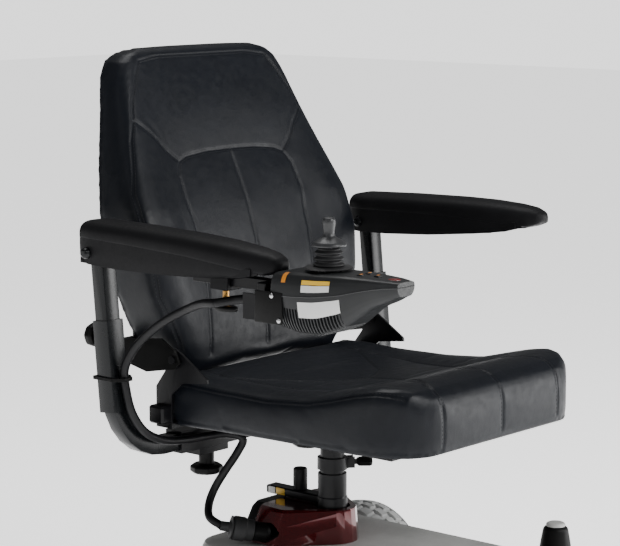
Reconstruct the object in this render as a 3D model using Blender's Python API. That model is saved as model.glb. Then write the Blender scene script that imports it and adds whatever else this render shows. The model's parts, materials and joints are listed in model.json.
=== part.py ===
"""A compact power wheelchair: powered base, swivelling post, folding captain's seat, side joystick.

Metres, +Z up. The user faces -Y and the user's left is +X. Sizes are given from the seat post's
axis, and the empty "chair" then carries everything back so that the middle of the chair's overall
box stands on the origin.
"""
import math

import bmesh
import bpy
from mathutils import Vector

# ---- driving dimensions -------------------------------------------------------------------------
FRONT_END = -0.590            # footplate's front edge
REAR_END = 0.335              # anti-tip wheels' rearmost point
POST_BACK = -(FRONT_END + REAR_END) / 2   # the post stands this far behind the middle of the box

GAP = 0.0003                  # between pieces that touch
RIGHT, LEFT = -1, 1           # sides of the chair, as signs of X

# base
TRACK = 0.2138                # drive wheel's middle plane from the chair's middle
AXLE_Y = 0.119
WHEEL_R = 0.1143
WHEEL_W = 0.080
RIM_R = 0.064
HUB_BORE_R = 0.0090
SHAFT_R = 0.0085
CASTER_X, CASTER_Y = 0.200, -0.281
CASTER_R = 0.076
CASTER_W = 0.042
CASTER_TRAIL = 0.042
ANTI_TIP_R = 0.030
ANTI_TIP_X, ANTI_TIP_Y, ANTI_TIP_Z = 0.085, REAR_END - ANTI_TIP_R, 0.047
DECK_TOP = 0.2330
DECK_BOTTOM = 0.1700
DECK_HALF_W = 0.150
DECK_FRONT, DECK_REAR = -0.335, 0.165
SHROUD_TOP = 0.286
SHROUD_REAR = 0.0895
SKIN = 0.003                  # moulded covers' wall

# seat post
SOCKET_R = 0.0225
POST_R = 0.0190
SOCKET_TOP = 0.338
SOCKET_BOTTOM = 0.2225
PAN_BOTTOM = 0.4275

# seat
SEAT_BOTTOM = 0.4375
HINGE_Y, HINGE_Z = 0.110, 0.5354
PLATE_IN, PLATE_OUT = 0.2290, 0.2330      # backrest's hinge plates on the seat
FOLD_IN, FOLD_OUT = 0.2345, 0.2385        # backrest's folding arms, outside the plates

# arms
ARM_X = 0.309                 # arm pad's and upright's middle plane
LEAN = math.radians(5.4)      # uprights lean back
PIVOT_Z = {RIGHT: 0.700, LEFT: 0.687}
ARM_TILT = {RIGHT: math.radians(2.0), LEFT: math.radians(-1.2)}
PAD_REAR, PAD_FRONT = 0.026, -0.359       # from the pivot
BAR_X, BAR_Y = 0.0140, 0.0125             # upright bar's half sizes
SLEEVE_X, SLEEVE_Y = 0.0170, 0.0155
SLEEVE_TOP, SLEEVE_BOTTOM = 0.598, 0.462
SLEEVE_FOOT_Y = 0.1610                    # upright's middle line at SLEEVE_FOOT_Z
SLEEVE_FOOT_Z = 0.4665
RECEIVER_Z = 0.3970
BEND_R = 0.085

# controller
CTRL_X = -0.305
CTRL_TIP, CTRL_REAR = -0.385, -0.166
PAD_TIP_Y = -0.180            # the upper shell starts ahead of the arm pad
CTRL_DECK = 0.7120
STICK_Y = -0.252
GIMBAL_Z = 0.7085
RAIL_Z = 0.6825               # slide bar under the right arm pad
RAIL_HALF, RAIL_SLOT = 0.0080, 0.0085
CLAMP_Y = -0.062

CABLE_R = 0.0053


# ---- scene --------------------------------------------------------------------------------------
for old in list(bpy.data.objects):
    bpy.data.objects.remove(old)

chair = bpy.data.objects.new("chair", None)
chair.location = (0, POST_BACK, 0)
bpy.context.scene.collection.objects.link(chair)

MATERIALS = {}


def material(name, colour, roughness, metallic=0.0):
    shader = bpy.data.materials.new(name)
    shader.use_nodes = True
    surface = shader.node_tree.nodes["Principled BSDF"]
    surface.inputs["Base Color"].default_value = (*colour, 1)
    surface.inputs["Roughness"].default_value = roughness
    surface.inputs["Metallic"].default_value = metallic
    MATERIALS[name] = shader


material("black_steel", (0.020, 0.020, 0.022), 0.45, 0.3)
material("vinyl", (0.028, 0.032, 0.040), 0.42)
material("black_plastic", (0.016, 0.016, 0.017), 0.5)
material("arm_pad", (0.014, 0.014, 0.015), 0.6)
material("grey_plastic", (0.060, 0.060, 0.064), 0.4)
material("gaiter_rubber", (0.030, 0.030, 0.032), 0.7)
material("burgundy", (0.140, 0.006, 0.012), 0.15, 0.4)
material("silver_plastic", (0.480, 0.480, 0.470), 0.35)
material("tyre", (0.330, 0.335, 0.330), 0.85)
material("rim", (0.550, 0.550, 0.560), 0.35, 0.7)
material("aluminium", (0.620, 0.620, 0.620), 0.35, 1.0)
material("battery_case", (0.050, 0.055, 0.060), 0.5)
material("cable_rubber", (0.015, 0.015, 0.016), 0.45)
material("button", (0.700, 0.240, 0.030), 0.5)


# ---- making solids ------------------------------------------------------------------------------
def place(name, solid, slot, at=(0, 0, 0), tilt=0.0):
    """Make an object of a bmesh drawn in chair coordinates, with its origin at `at`.

    tilt turns it about X at its origin.
    """
    bmesh.ops.recalc_face_normals(solid, faces=solid.faces)
    bmesh.ops.translate(solid, verts=solid.verts, vec=-Vector(at))
    mesh = bpy.data.meshes.new(name)
    solid.to_mesh(mesh)
    solid.free()
    mesh.shade_smooth()
    mesh.set_sharp_from_angle(angle=math.radians(32))
    mesh.materials.append(MATERIALS[slot])
    piece = bpy.data.objects.new(name, mesh)
    piece.location = at
    piece.rotation_euler = (tilt, 0, 0)
    piece.parent = chair
    bpy.context.scene.collection.objects.link(piece)
    return piece


def combine(piece, operation, solids, at=(0, 0, 0), tilt=0.0):
    """Add or take away hidden tool solids with exact booleans."""
    for number, solid in enumerate(solids):
        tool = place(f"{piece.name}_{operation.lower()}_{number}", solid, "black_steel", at, tilt)
        tool.hide_render = True
        tool.display_type = "WIRE"
        step = piece.modifiers.new(tool.name, "BOOLEAN")
        step.operation = operation
        step.solver = "EXACT"
        step.object = tool
    return piece


def join(piece, *solids, at=(0, 0, 0), tilt=0.0):
    return combine(piece, "UNION", solids, at, tilt)


def cut(piece, *solids, at=(0, 0, 0), tilt=0.0):
    return combine(piece, "DIFFERENCE", solids, at, tilt)


def loft(rings, closed=False):
    """Skin a list of rings; the ends are capped unless the last ring joins the first."""
    solid = bmesh.new()
    rows = [[solid.verts.new(point) for point in ring] for ring in rings]
    count = len(rows[0])
    pairs = list(zip(rows, rows[1:]))
    if closed:
        pairs.append((rows[-1], rows[0]))
    for low, high in pairs:
        for k in range(count):
            solid.faces.new((low[k], low[(k + 1) % count], high[(k + 1) % count], high[k]))
    if not closed:
        solid.faces.new(rows[0][::-1])
        solid.faces.new(rows[-1])
    return solid


def block(low, high, bevel=0.0):
    """A box between two corners, with its edges rounded by `bevel`."""
    (x0, y0, z0), (x1, y1, z1) = low, high
    corners = [(x0, y0), (x1, y0), (x1, y1), (x0, y1)]
    solid = loft([[(x, y, z) for x, y in corners] for z in (z0, z1)])
    if bevel:
        bmesh.ops.bevel(solid, geom=solid.edges[:], offset=bevel, segments=1, affect="EDGES")
    return solid


def mirrored_block(side, low, high, bevel=0.0):
    """A box given on the +X side, on the side asked for."""
    xs = sorted((side * low[0], side * high[0]))
    return block((xs[0], low[1], low[2]), (xs[1], high[1], high[2]), bevel)


def basis(axis):
    """Two unit vectors across an axis."""
    along = Vector(axis).normalized()
    across = Vector((0, 0, 1)) if abs(along.z) < 0.9 else Vector((1, 0, 0))
    first = along.cross(across).normalized()
    return first, along.cross(first)


def turned(profile, centre, axis, sides=18, closed=False):
    """Turn (radius, height) points about an axis through `centre`.

    closed joins the last point to the first, which gives a ring with a hole.
    """
    first, second = basis(axis)
    along = Vector(axis).normalized()
    rings = []
    for radius, height in profile:
        rings.append([
            Vector(centre) + along * height
            + radius * (first * math.cos(turn) + second * math.sin(turn))
            for turn in (2 * math.pi * k / sides for k in range(sides))
        ])
    return loft(rings, closed)


def rod(start, end, radius, sides=14):
    length = (Vector(end) - Vector(start)).length
    return turned([(radius, 0), (radius, length)], start, Vector(end) - Vector(start), sides)


def knob(centre, axis, radius, height, stem_radius, stem, lobes=8):
    """A clamp knob: a stem, then a lobed disc with a chamfered rim, from `centre` along `axis`."""
    first, second = basis(axis)
    along = Vector(axis).normalized()
    sides = lobes * 2
    levels = [(stem_radius, 0, 0), (stem_radius, stem, 0), (radius * 0.8, stem, 0.4),
              (radius, stem + height * 0.25, 1), (radius, stem + height * 0.75, 1),
              (radius * 0.8, stem + height, 0.4)]
    rings = []
    for level_radius, level, depth in levels:
        ring = []
        for k in range(sides):
            turn = 2 * math.pi * k / sides
            wave = 1 - 0.07 * depth * (k % 2)
            ring.append(Vector(centre) + along * level
                        + level_radius * wave * (first * math.cos(turn) + second * math.sin(turn)))
        rings.append(ring)
    return loft(rings)


def rounded(half_x, half_y, radius, centre=(0, 0), steps=4):
    """A rounded rectangle's outline as (x, y) points."""
    points = []
    for quarter, (sx, sy) in enumerate(((1, 1), (-1, 1), (-1, -1), (1, -1))):
        for step in range(steps + 1):
            turn = math.pi / 2 * (quarter + step / steps)
            points.append((centre[0] + sx * (half_x - radius) + radius * math.cos(turn),
                           centre[1] + sy * (half_y - radius) + radius * math.sin(turn)))
    return points


def prism(outline, axis, low, high):
    """Extrude an outline along X (y, z), Y (x, z) or Z (x, y)."""
    def lay(point, level):
        a, b = point
        return {"X": (level, a, b), "Y": (a, level, b), "Z": (a, b, level)}[axis]
    return loft([[lay(point, level) for point in outline] for level in (low, high)])


def sweep(path, half_a, half_b, side_axis, corner):
    """Sweep a rounded rectangular section along a path; half_a lies along side_axis."""
    path = [Vector(point) for point in path]
    rings = []
    for k, point in enumerate(path):
        along = (path[min(k + 1, len(path) - 1)] - path[max(k - 1, 0)]).normalized()
        across = Vector(side_axis).normalized()
        other = along.cross(across).normalized()
        rings.append([point + across * a + other * b for a, b in rounded(half_a, half_b, corner, steps=2)])
    return loft(rings)


def curve_through(points, spacing):
    """Points every `spacing` along a smooth curve through the route's points."""
    route = [Vector(point) for point in points]
    ends = [2 * route[0] - route[1]] + route + [2 * route[-1] - route[-2]]
    fine = []
    for before, start, end, after in zip(ends, ends[1:], ends[2:], ends[3:]):
        for step in range(12):
            t = step / 12
            fine.append(0.5 * (2 * start + (end - before) * t
                               + (2 * before - 5 * start + 4 * end - after) * t ** 2
                               + (3 * start - before - 3 * end + after) * t ** 3))
    fine.append(route[-1])
    total = sum((b - a).length for a, b in zip(fine, fine[1:]))
    count = max(2, round(total / spacing))
    path, travelled, wanted = [fine[0]], 0.0, total / count
    for a, b in zip(fine, fine[1:]):
        travelled += (b - a).length
        if travelled >= wanted and len(path) < count:
            path.append(b)
            wanted += total / count
    path.append(fine[-1])
    return path


def cable(name, path):
    """A round cable as a bevelled poly curve with filled caps."""
    line = bpy.data.curves.new(name, "CURVE")
    line.dimensions = "3D"
    line.bevel_depth = CABLE_R
    line.bevel_resolution = 2
    line.use_fill_caps = True
    line.render_resolution_u = 0
    spline = line.splines.new("POLY")
    spline.points.add(len(path) - 1)
    for target, point in zip(spline.points, path):
        target.co = (*point, 1)
    line.materials.append(MATERIALS["cable_rubber"])
    piece = bpy.data.objects.new(name, line)
    piece.parent = chair
    bpy.context.scene.collection.objects.link(piece)
    return piece


def side_name(side):
    return "right" if side == RIGHT else "left"


# ---- powered base -------------------------------------------------------------------------------
RAIL_OUT, RAIL_IN = 0.100, 0.086
RAIL_LOW, RAIL_HIGH = 0.050, 0.090
BRIDGE_TOP = 0.2220
SHELF_TOP = 0.1865            # shelf for the power module


def base_frame():
    """Welded frame: two rails, battery tray, bridge under the post, caster beam, rear arms."""
    frame = place("base_frame", block((-RAIL_OUT, -0.085, 0.0465), (RAIL_OUT, 0.125, 0.0510)),
                  "black_steel")
    weldments = []
    rear_arm = [(0.205, RAIL_LOW + 0.004), (0.236, RAIL_LOW - 0.002),
                (ANTI_TIP_Y + 0.010, ANTI_TIP_Z - 0.010), (ANTI_TIP_Y + 0.014, ANTI_TIP_Z + 0.004),
                (ANTI_TIP_Y, ANTI_TIP_Z + 0.011), (0.236, RAIL_HIGH - 0.004), (0.205, RAIL_HIGH - 0.006)]
    for side in (RIGHT, LEFT):
        stem = Vector((side * CASTER_X, CASTER_Y, 0.1745))
        arm_sides = sorted((side * (RAIL_OUT - 0.0085), side * (RAIL_OUT - 0.0035)))
        weldments += [
            mirrored_block(side, (RAIL_IN, -0.150, RAIL_LOW), (RAIL_OUT, 0.235, RAIL_HIGH)),
            mirrored_block(side, (RAIL_IN, -0.035, RAIL_HIGH - 0.002),
                           (RAIL_OUT - 0.0005, 0.035, BRIDGE_TOP)),
            rod(stem, stem + Vector((0, 0, 0.041)), 0.0200),
            prism(rear_arm, "X", *arm_sides),
        ]
    weldments += [
        block((-0.020, -0.165, 0.0880), (0.020, -0.145, 0.1840)),
        block((-0.050, -0.205, 0.1830), (0.050, -0.115, SHELF_TOP)),
        block((-RAIL_OUT + 0.001, -0.035 + 0.0005, 0.2110), (RAIL_OUT - 0.001, 0.0345, BRIDGE_TOP + 0.0005)),
        *[block((-RAIL_OUT + 0.0015, front, RAIL_LOW + 0.0005), (RAIL_OUT - 0.0015, rear, RAIL_HIGH - 0.0005))
          for front, rear in ((-0.149, -0.118), (0.205, 0.234))],
        block((-0.030, -0.302, 0.060), (0.030, -0.130, 0.0890)),
        block((-0.0295, -0.299, 0.0880), (0.0295, -0.263, 0.2130)),
        block((-CASTER_X, -0.2965, 0.1850), (CASTER_X, -0.2655, 0.2140)),
    ]
    join(frame, *weldments)
    cut(frame,
        block((-0.0125, -0.310, 0.0640), (0.0125, -0.240, 0.0850)),
        *[rod((side * CASTER_X, CASTER_Y, 0.160), (side * CASTER_X, CASTER_Y, 0.230), 0.0066)
          for side in (RIGHT, LEFT)],
        *[rod((side * 0.06, ANTI_TIP_Y, ANTI_TIP_Z), (side * 0.12, ANTI_TIP_Y, ANTI_TIP_Z), 0.0043, 16)
          for side in (RIGHT, LEFT)])


def batteries():
    for side in (RIGHT, LEFT):
        case = place(f"battery_{side_name(side)}",
                     mirrored_block(side, (0.004, -0.075, 0.0515), (0.081, 0.106, 0.1960), 0.003),
                     "battery_case")
        join(case, mirrored_block(side, (0.012, -0.066, 0.190), (0.073, 0.097, 0.2020), 0.002),
             rod((side * 0.030, 0.085, 0.195), (side * 0.030, 0.085, 0.2075), 0.0055, 12),
             rod((side * 0.056, 0.085, 0.195), (side * 0.056, 0.085, 0.2075), 0.0055, 12))


def gear_motors():
    """Worm gear motors: gearbox at the axle, motor barrel forward of it, shaft out to the wheel."""
    for side in (RIGHT, LEFT):
        gearbox = place(f"gear_motor_{side_name(side)}",
                        mirrored_block(side, (0.1035, AXLE_Y - 0.045, WHEEL_R - 0.040),
                                       (0.1600, AXLE_Y + 0.045, WHEEL_R + 0.040), 0.006),
                        "aluminium")
        join(gearbox,
             turned([(0.030, 0), (0.034, 0.006), (0.034, 0.100), (0.026, 0.112)],
                    (side * 0.1365, AXLE_Y - 0.040, WHEEL_R), (0, -1, 0), 18),
             rod((side * 0.150, AXLE_Y, WHEEL_R), (side * 0.1700, AXLE_Y, WHEEL_R), 0.022, 18),
             rod((side * 0.150, AXLE_Y, WHEEL_R), (side * 0.2440, AXLE_Y, WHEEL_R), SHAFT_R, 18))


def freewheel_levers():
    """The levers behind the gearboxes that let the chair be pushed."""
    for side in (RIGHT, LEFT):
        centre = (side * 0.132, AXLE_Y + 0.0455, WHEEL_R + 0.010)
        lever = place(f"freewheel_lever_{side_name(side)}",
                      rod(centre, Vector(centre) + Vector((0, 0.012, 0)), 0.010, 20), "button", at=centre)
        join(lever, mirrored_block(side, (0.1275, AXLE_Y + 0.0495, WHEEL_R + 0.012),
                                   (0.1365, AXLE_Y + 0.0565, WHEEL_R + 0.058), 0.002), at=centre)


def drive_wheels():
    half = WHEEL_W / 2
    tread = [(RIM_R, -0.024), (0.070, -0.033), (0.084, -half), (0.100, -0.0390), (0.1105, -0.0320),
             (WHEEL_R, -0.0200), (WHEEL_R, 0.0200), (0.1105, 0.0320), (0.100, 0.0390), (0.084, half),
             (0.070, 0.033), (RIM_R, 0.024)]
    dish = [(HUB_BORE_R, -0.022), (0.026, -0.022), (0.030, -0.012), (0.050, -0.010), (0.056, -0.026),
            (RIM_R - GAP, -0.026), (RIM_R - GAP, 0.026), (0.056, 0.026), (0.050, 0.004), (0.028, 0.006),
            (0.024, 0.022), (HUB_BORE_R, 0.022)]
    for side in (RIGHT, LEFT):
        name, centre = side_name(side), (side * TRACK, AXLE_Y, WHEEL_R)
        place(f"drive_tyre_{name}", turned(tread, centre, (side, 0, 0), 24, True), "tyre", centre)
        place(f"drive_rim_{name}", turned(dish, centre, (side, 0, 0), 24, True), "rim", centre)


def casters():
    """Front casters: a moulded housing over the bearing, a swivelling fork and its wheel."""
    wheel_y = CASTER_Y + CASTER_TRAIL
    cap = [(0.0250, 0.2158), (0.0250, 0.2240), (0.0215, 0.2480), (0.0185, 0.2620), (0.0150, 0.2660),
           (0.0080, 0.2675)]
    half = CASTER_W / 2
    side_profile = [(CASTER_R, 0.006), (0.0735, 0.014), (0.066, half), (0.050, 0.018), (0.044, 0.009),
                    (0.024, 0.010), (0.0066, 0.020)]
    wheel = [(radius, -across) for radius, across in side_profile[::-1]] + side_profile
    for side in (RIGHT, LEFT):
        name = side_name(side)
        x = side * CASTER_X
        place(f"caster_housing_{name}", turned(cap, (x, CASTER_Y, 0), (0, 0, 1), 20), "black_plastic")
        stem = (x, CASTER_Y, 0)
        crown = block((x - 0.030, CASTER_Y - 0.022, 0.1600), (x + 0.030, wheel_y + 0.010, 0.1690), 0.003)
        fork = place(f"caster_fork_{name}", crown, "black_steel", at=stem)
        cheeks = []
        for cheek in (RIGHT, LEFT):
            a, b = sorted((x + cheek * 0.0235, x + cheek * 0.0295))
            cheeks.append(prism([(wheel_y - 0.013, CASTER_R - 0.008), (wheel_y - 0.005, CASTER_R - 0.014),
                                 (wheel_y + 0.006, CASTER_R - 0.013), (wheel_y + 0.013, CASTER_R - 0.004),
                                 (wheel_y + 0.009, 0.1610), (CASTER_Y - 0.018, 0.1610)], "X", a, b))
        join(fork, *cheeks,
             rod((x, CASTER_Y, 0.162), (x, CASTER_Y, 0.1735), 0.016, 24),
             rod((x, CASTER_Y, 0.162), (x, CASTER_Y, 0.2150), 0.0062, 20),
             rod((x - 0.033, wheel_y, CASTER_R), (x + 0.033, wheel_y, CASTER_R), 0.0062, 20), at=stem)
        centre = (x, wheel_y, CASTER_R)
        place(f"caster_wheel_{name}", turned(wheel, centre, (1, 0, 0), 20, True), "tyre", centre)


def anti_tip_wheels():
    """Small wheels behind the base, clear of the ground until the chair rears."""
    profile = [(0.0064, -0.010), (0.024, -0.010), (ANTI_TIP_R, -0.006), (ANTI_TIP_R, 0.006), (0.024, 0.010),
               (0.0064, 0.010)]
    for side in (RIGHT, LEFT):
        centre = (side * ANTI_TIP_X, ANTI_TIP_Y, ANTI_TIP_Z)
        middle = side * (ANTI_TIP_X - 0.008)
        wheel_centre = (middle, ANTI_TIP_Y, ANTI_TIP_Z)
        name = side_name(side)
        wheel = place(f"anti_tip_wheel_{name}", turned(profile, wheel_centre, (1, 0, 0), 18, True),
                      "gaiter_rubber", centre)
        join(wheel, rod((middle - side * 0.014, ANTI_TIP_Y, ANTI_TIP_Z),
                        (side * (RAIL_OUT + 0.001), ANTI_TIP_Y, ANTI_TIP_Z), 0.0040, 16),
             rod((middle - side * 0.014, ANTI_TIP_Y, ANTI_TIP_Z),
                 (middle + side * 0.0105, ANTI_TIP_Y, ANTI_TIP_Z), 0.0070, 16), at=centre)


def shell(rings_out, rings_in):
    """A moulded cover open below: up the outside, over the rim of its hole and down the inside."""
    return loft(rings_out + rings_in[::-1], closed=True)


def deck_cover():
    """Light grey cover over the base, with a hole round the post under the shroud."""
    middle = (DECK_FRONT + DECK_REAR) / 2
    half = (DECK_REAR - DECK_FRONT) / 2

    def ring(inset, z):
        outline = rounded(DECK_HALF_W - inset, half - inset, 0.050 - inset, (0, middle), 5)
        return [(x, y, z) for x, y in outline]

    def hole(radius, z):
        count = len(rounded(1, 1, 0.1, steps=5))
        return [(radius * math.cos(t), radius * math.sin(t), z)
                for t in (2 * math.pi * (k + 0.5) / count for k in range(count))]

    outside = [ring(0.0, DECK_BOTTOM), ring(0.0, DECK_TOP - 0.012), ring(0.004, DECK_TOP - 0.004),
               ring(0.012, DECK_TOP - 0.0008), hole(0.030, DECK_TOP)]
    inside = [ring(SKIN, DECK_BOTTOM), ring(SKIN, DECK_TOP - 0.0135), ring(0.006, DECK_TOP - 0.0065),
              ring(0.0135, DECK_TOP - 0.0038), hole(0.030, DECK_TOP - SKIN)]
    deck = place("deck_cover", shell(outside, inside), "silver_plastic")
    cut(deck,
        block((-0.180, -0.2985, 0.150), (0.180, -0.2635, 0.2160)),
        block((-0.020, DECK_REAR - 0.008, 0.160), (0.020, DECK_REAR + 0.009, 0.200)),
        rod(PLUG_FRONT - 0.012 * PLUG_AXIS, PLUG_FRONT + 0.050 * PLUG_AXIS, 0.0162, 16))


def shroud_outline(widen, z):
    """Half-arrow plan: a nose round the post, faces out to a crease, then straight back."""
    nose_r = 0.0375 + widen * 0.15
    crease_x, crease_y = 0.076 + widen, 0.038
    rear_x = 0.073 + widen * 1.1
    corner = [(nose_r * math.sin(turn), -nose_r * math.cos(turn))
              for turn in (math.radians(a) for a in (0, 20, 40))]
    half = corner + [(crease_x - 0.010, crease_y - 0.012), (crease_x - 0.002, crease_y - 0.002),
                     (crease_x, crease_y + 0.006), (rear_x, SHROUD_REAR - 0.010),
                     (rear_x - 0.003, SHROUD_REAR - 0.003), (rear_x - 0.012, SHROUD_REAR)]
    other = [(-x, y) for x, y in half[:0:-1]]
    return [(x, y, z) for x, y in half + other]


def shroud():
    """Glossy cover round the post."""
    sides = len(shroud_outline(0, 0))

    def hole(radius, z):
        return [(radius * math.sin(2 * math.pi * k / sides), -radius * math.cos(2 * math.pi * k / sides), z)
                for k in range(sides)]

    floor = DECK_TOP + GAP
    outside = [shroud_outline(0.0230, floor), shroud_outline(0.0215, floor + 0.006),
               shroud_outline(0.0120, floor + 0.028), shroud_outline(0.0020, SHROUD_TOP - 0.005),
               shroud_outline(-0.0030, SHROUD_TOP - 0.0006), hole(0.0280, SHROUD_TOP)]
    inside = [shroud_outline(0.0200, floor), shroud_outline(0.0185, floor + 0.006),
              shroud_outline(0.0090, floor + 0.028), shroud_outline(-0.0012, SHROUD_TOP - 0.0065),
              shroud_outline(-0.0060, SHROUD_TOP - 0.0036), hole(0.0280, SHROUD_TOP - SKIN)]
    inside = [[(x, y - 0.0028 if y > SHROUD_REAR - 0.008 else y, z) for x, y, z in ring] for ring in inside]
    cover = place("shroud", shell(outside, inside), "burgundy")
    cut(cover, rod(PLUG_FRONT - 0.012 * PLUG_AXIS, PLUG_FRONT + 0.050 * PLUG_AXIS, 0.0160, 16))


def rear_cover():
    """Black cover of the breaker and the charging wires, behind the shroud."""
    front, rear = SHROUD_REAR + 2 * GAP, 0.125
    middle, half = (front + rear) / 2, (rear - front) / 2
    floor = DECK_TOP + GAP

    def ring(half_width, inset, z):
        outline = rounded(half_width, half - inset, 0.010, (0, middle - inset), 4)
        return [(x, y, z) for x, y in outline]

    outside = [ring(0.0720, 0.0, floor), ring(0.0680, 0.001, floor + 0.022),
               ring(0.0600, 0.003, SHROUD_TOP - 0.010), ring(0.0550, 0.006, SHROUD_TOP - 0.0015)]
    cover = place("rear_cover", loft(outside), "black_plastic")
    cut(cover, block((-0.048, front + 0.005, floor - 0.020),
                     (0.048, rear - 0.012, SHROUD_TOP - 0.014), SKIN / 2))


PLUG_AXIS = Vector((0.75, -0.60, -0.20)).normalized()
PLUG_CENTRE = Vector((-0.1225, 0.0800, 0.2585))
PLUG_HALF = 0.0190
PLUG_FRONT = PLUG_CENTRE + PLUG_HALF * PLUG_AXIS
PLUG_REAR = PLUG_CENTRE - PLUG_HALF * PLUG_AXIS


def power_module():
    """The motor controller on its shelf under the deck, and the socket and plug of the joystick lead."""
    place("power_module", block((-0.055, -0.210, SHELF_TOP + GAP), (0.055, -0.110, 0.2280), 0.003),
          "aluminium")
    socket = [(0.0155, GAP), (0.0155, 0.020), (0.0120, 0.026)]
    place("cable_socket", turned(socket, PLUG_FRONT, PLUG_AXIS, 16), "black_plastic")
    grip = [(0.0075, -0.014), (0.0080, 0.0), (0.0150, 0.004), (0.0190, 0.007), (0.0190, 0.024),
            (0.0170, 0.026), (0.0170, 0.0375)]
    place("cable_plug", turned(grip, PLUG_REAR, PLUG_AXIS, 18), "black_plastic")


def footrest():
    """Sliding stem with a clevis, and a footplate that folds up."""
    stem = place("footrest_stem", block((-0.0120, -0.420, 0.0645), (0.0120, -0.250, 0.0845), 0.0015),
                 "black_steel")
    join(stem, block((-0.0500, -0.432, 0.0640), (0.0500, -0.412, 0.0850), 0.002),
         rod((-0.0560, -0.422, 0.0950), (0.0560, -0.422, 0.0950), 0.0055, 20),
         block((-0.0100, -0.430, 0.0800), (0.0100, -0.414, 0.0960)))
    hinge = (0, -0.422, 0.0950)
    plate = place("footplate", block((-0.150, FRONT_END, 0.0880), (0.150, -0.440, 0.1010), 0.004),
                  "black_plastic", at=hinge)
    ears = []
    for side in (RIGHT, LEFT):
        ears.append(mirrored_block(side, (0.018, -0.450, 0.0890), (0.048, -0.422, 0.1000)))
        ears.append(rod((side * 0.018, -0.422, 0.0950), (side * 0.048, -0.422, 0.0950), 0.0095, 24))
    join(plate, *ears, at=hinge)
    cut(plate, rod((-0.060, -0.422, 0.0950), (0.060, -0.422, 0.0950), 0.0058, 24), at=hinge)


# ---- seat post ----------------------------------------------------------------------------------
STUB_Y = 0.066


def post_socket():
    """Outer tube on the bridge, with the rear lug that carries the height pin."""
    bore, foot, collar = POST_R + GAP, SOCKET_BOTTOM + 0.0005 + GAP, SOCKET_R + 0.001
    profile = [(bore, foot), (0.0290, foot), (0.0290, 0.2265), (collar, 0.2295), (collar, 0.300),
               (SOCKET_R, 0.3020), (SOCKET_R, SOCKET_TOP), (bore, SOCKET_TOP)]
    tube = place("post_socket", turned(profile, (0, 0, 0), (0, 0, 1), 24, True), "black_steel")
    join(tube, block((-0.0120, 0.0199, 0.2868), (0.0120, 0.1280, 0.3000), 0.002))
    cut(tube, rod((0, STUB_Y, 0.280), (0, STUB_Y, 0.315), 0.0060, 20))


def height_pin():
    """Spring plunger: its round head is pulled up to free the post."""
    profile = [(0.0056, 0.2868), (0.0056, 0.3003), (0.0112, 0.3005), (0.0112, 0.3330), (0.0100, 0.3350)]
    plunger = turned(profile, (0, STUB_Y, 0), (0, 0, 1), 24)
    place("height_pin", plunger, "black_plastic", at=(0, STUB_Y, 0.300))


def seat_post():
    """Sliding inner tube with the swivel's lower plate and the collar that carries its lever."""
    bore = POST_R - 0.004
    tube = [(bore, 0.2300), (POST_R, 0.2300), (POST_R, 0.3980), (0.0600, 0.3990), (0.0600, 0.4050),
            (bore, 0.4050)]
    collar = [(POST_R - 0.001, 0.3440), (0.0235, 0.3440), (0.0235, 0.3630), (POST_R - 0.001, 0.3630)]
    post = place("seat_post", turned(tube, (0, 0, 0), (0, 0, 1), 24, True), "black_steel")
    pin_at = LEVER_OUT * 0.0300 + Vector((0, 0, LEVER_Z))
    join(post, turned(collar, (0, 0, 0), (0, 0, 1), 24, True),
         lever_block(0.0200, 0.0340, 0.0080, 0.3450, 0.3620))
    cut(post, lever_block(0.0245, 0.0400, 0.0040, 0.3400, 0.3700))
    join(post, rod(pin_at - LEVER_PIN * 0.0070, pin_at + LEVER_PIN * 0.0070, 0.0016, 12))


LEVER_OUT = Vector((0.8, -0.6, 0))        # the way the swivel lever points
LEVER_PIN = Vector((-0.6, -0.8, 0))
LEVER_Z = 0.3530


def lever_block(near, far, half_wide, low, high):
    """A box along the lever's direction, given by its distances from the post's axis."""
    corners = [(near, -half_wide), (far, -half_wide), (far, half_wide), (near, half_wide)]
    return loft([[LEVER_OUT * out + LEVER_PIN * across + Vector((0, 0, z)) for out, across in corners]
                 for z in (low, high)])


def swivel_lever():
    """Lever on the post's collar that lifts to free the swivel, with a six-sided grip."""
    pivot = LEVER_OUT * 0.0300 + Vector((0, 0, LEVER_Z))
    lever = place("swivel_lever", lever_block(0.0265, 0.0420, 0.0035, LEVER_Z - 0.0035, LEVER_Z + 0.0035),
                  "black_steel", at=pivot)
    join(lever, turned([(0.0050, 0), (0.0075, 0.003), (0.0085, 0.020), (0.0070, 0.0240)],
                       LEVER_OUT * 0.0385 + Vector((0, 0, LEVER_Z)), LEVER_OUT, 6), at=pivot)
    cut(lever, rod(pivot - LEVER_PIN * 0.010, pivot + LEVER_PIN * 0.010, 0.0020, 12), at=pivot)


# ---- seat ---------------------------------------------------------------------------------------
def lean_y(z):
    """Y of the uprights' middle line at a height."""
    return SLEEVE_FOOT_Y + (z - SLEEVE_FOOT_Z) * math.tan(LEAN)


RECEIVER_Y = lean_y(RECEIVER_Z)


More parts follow.
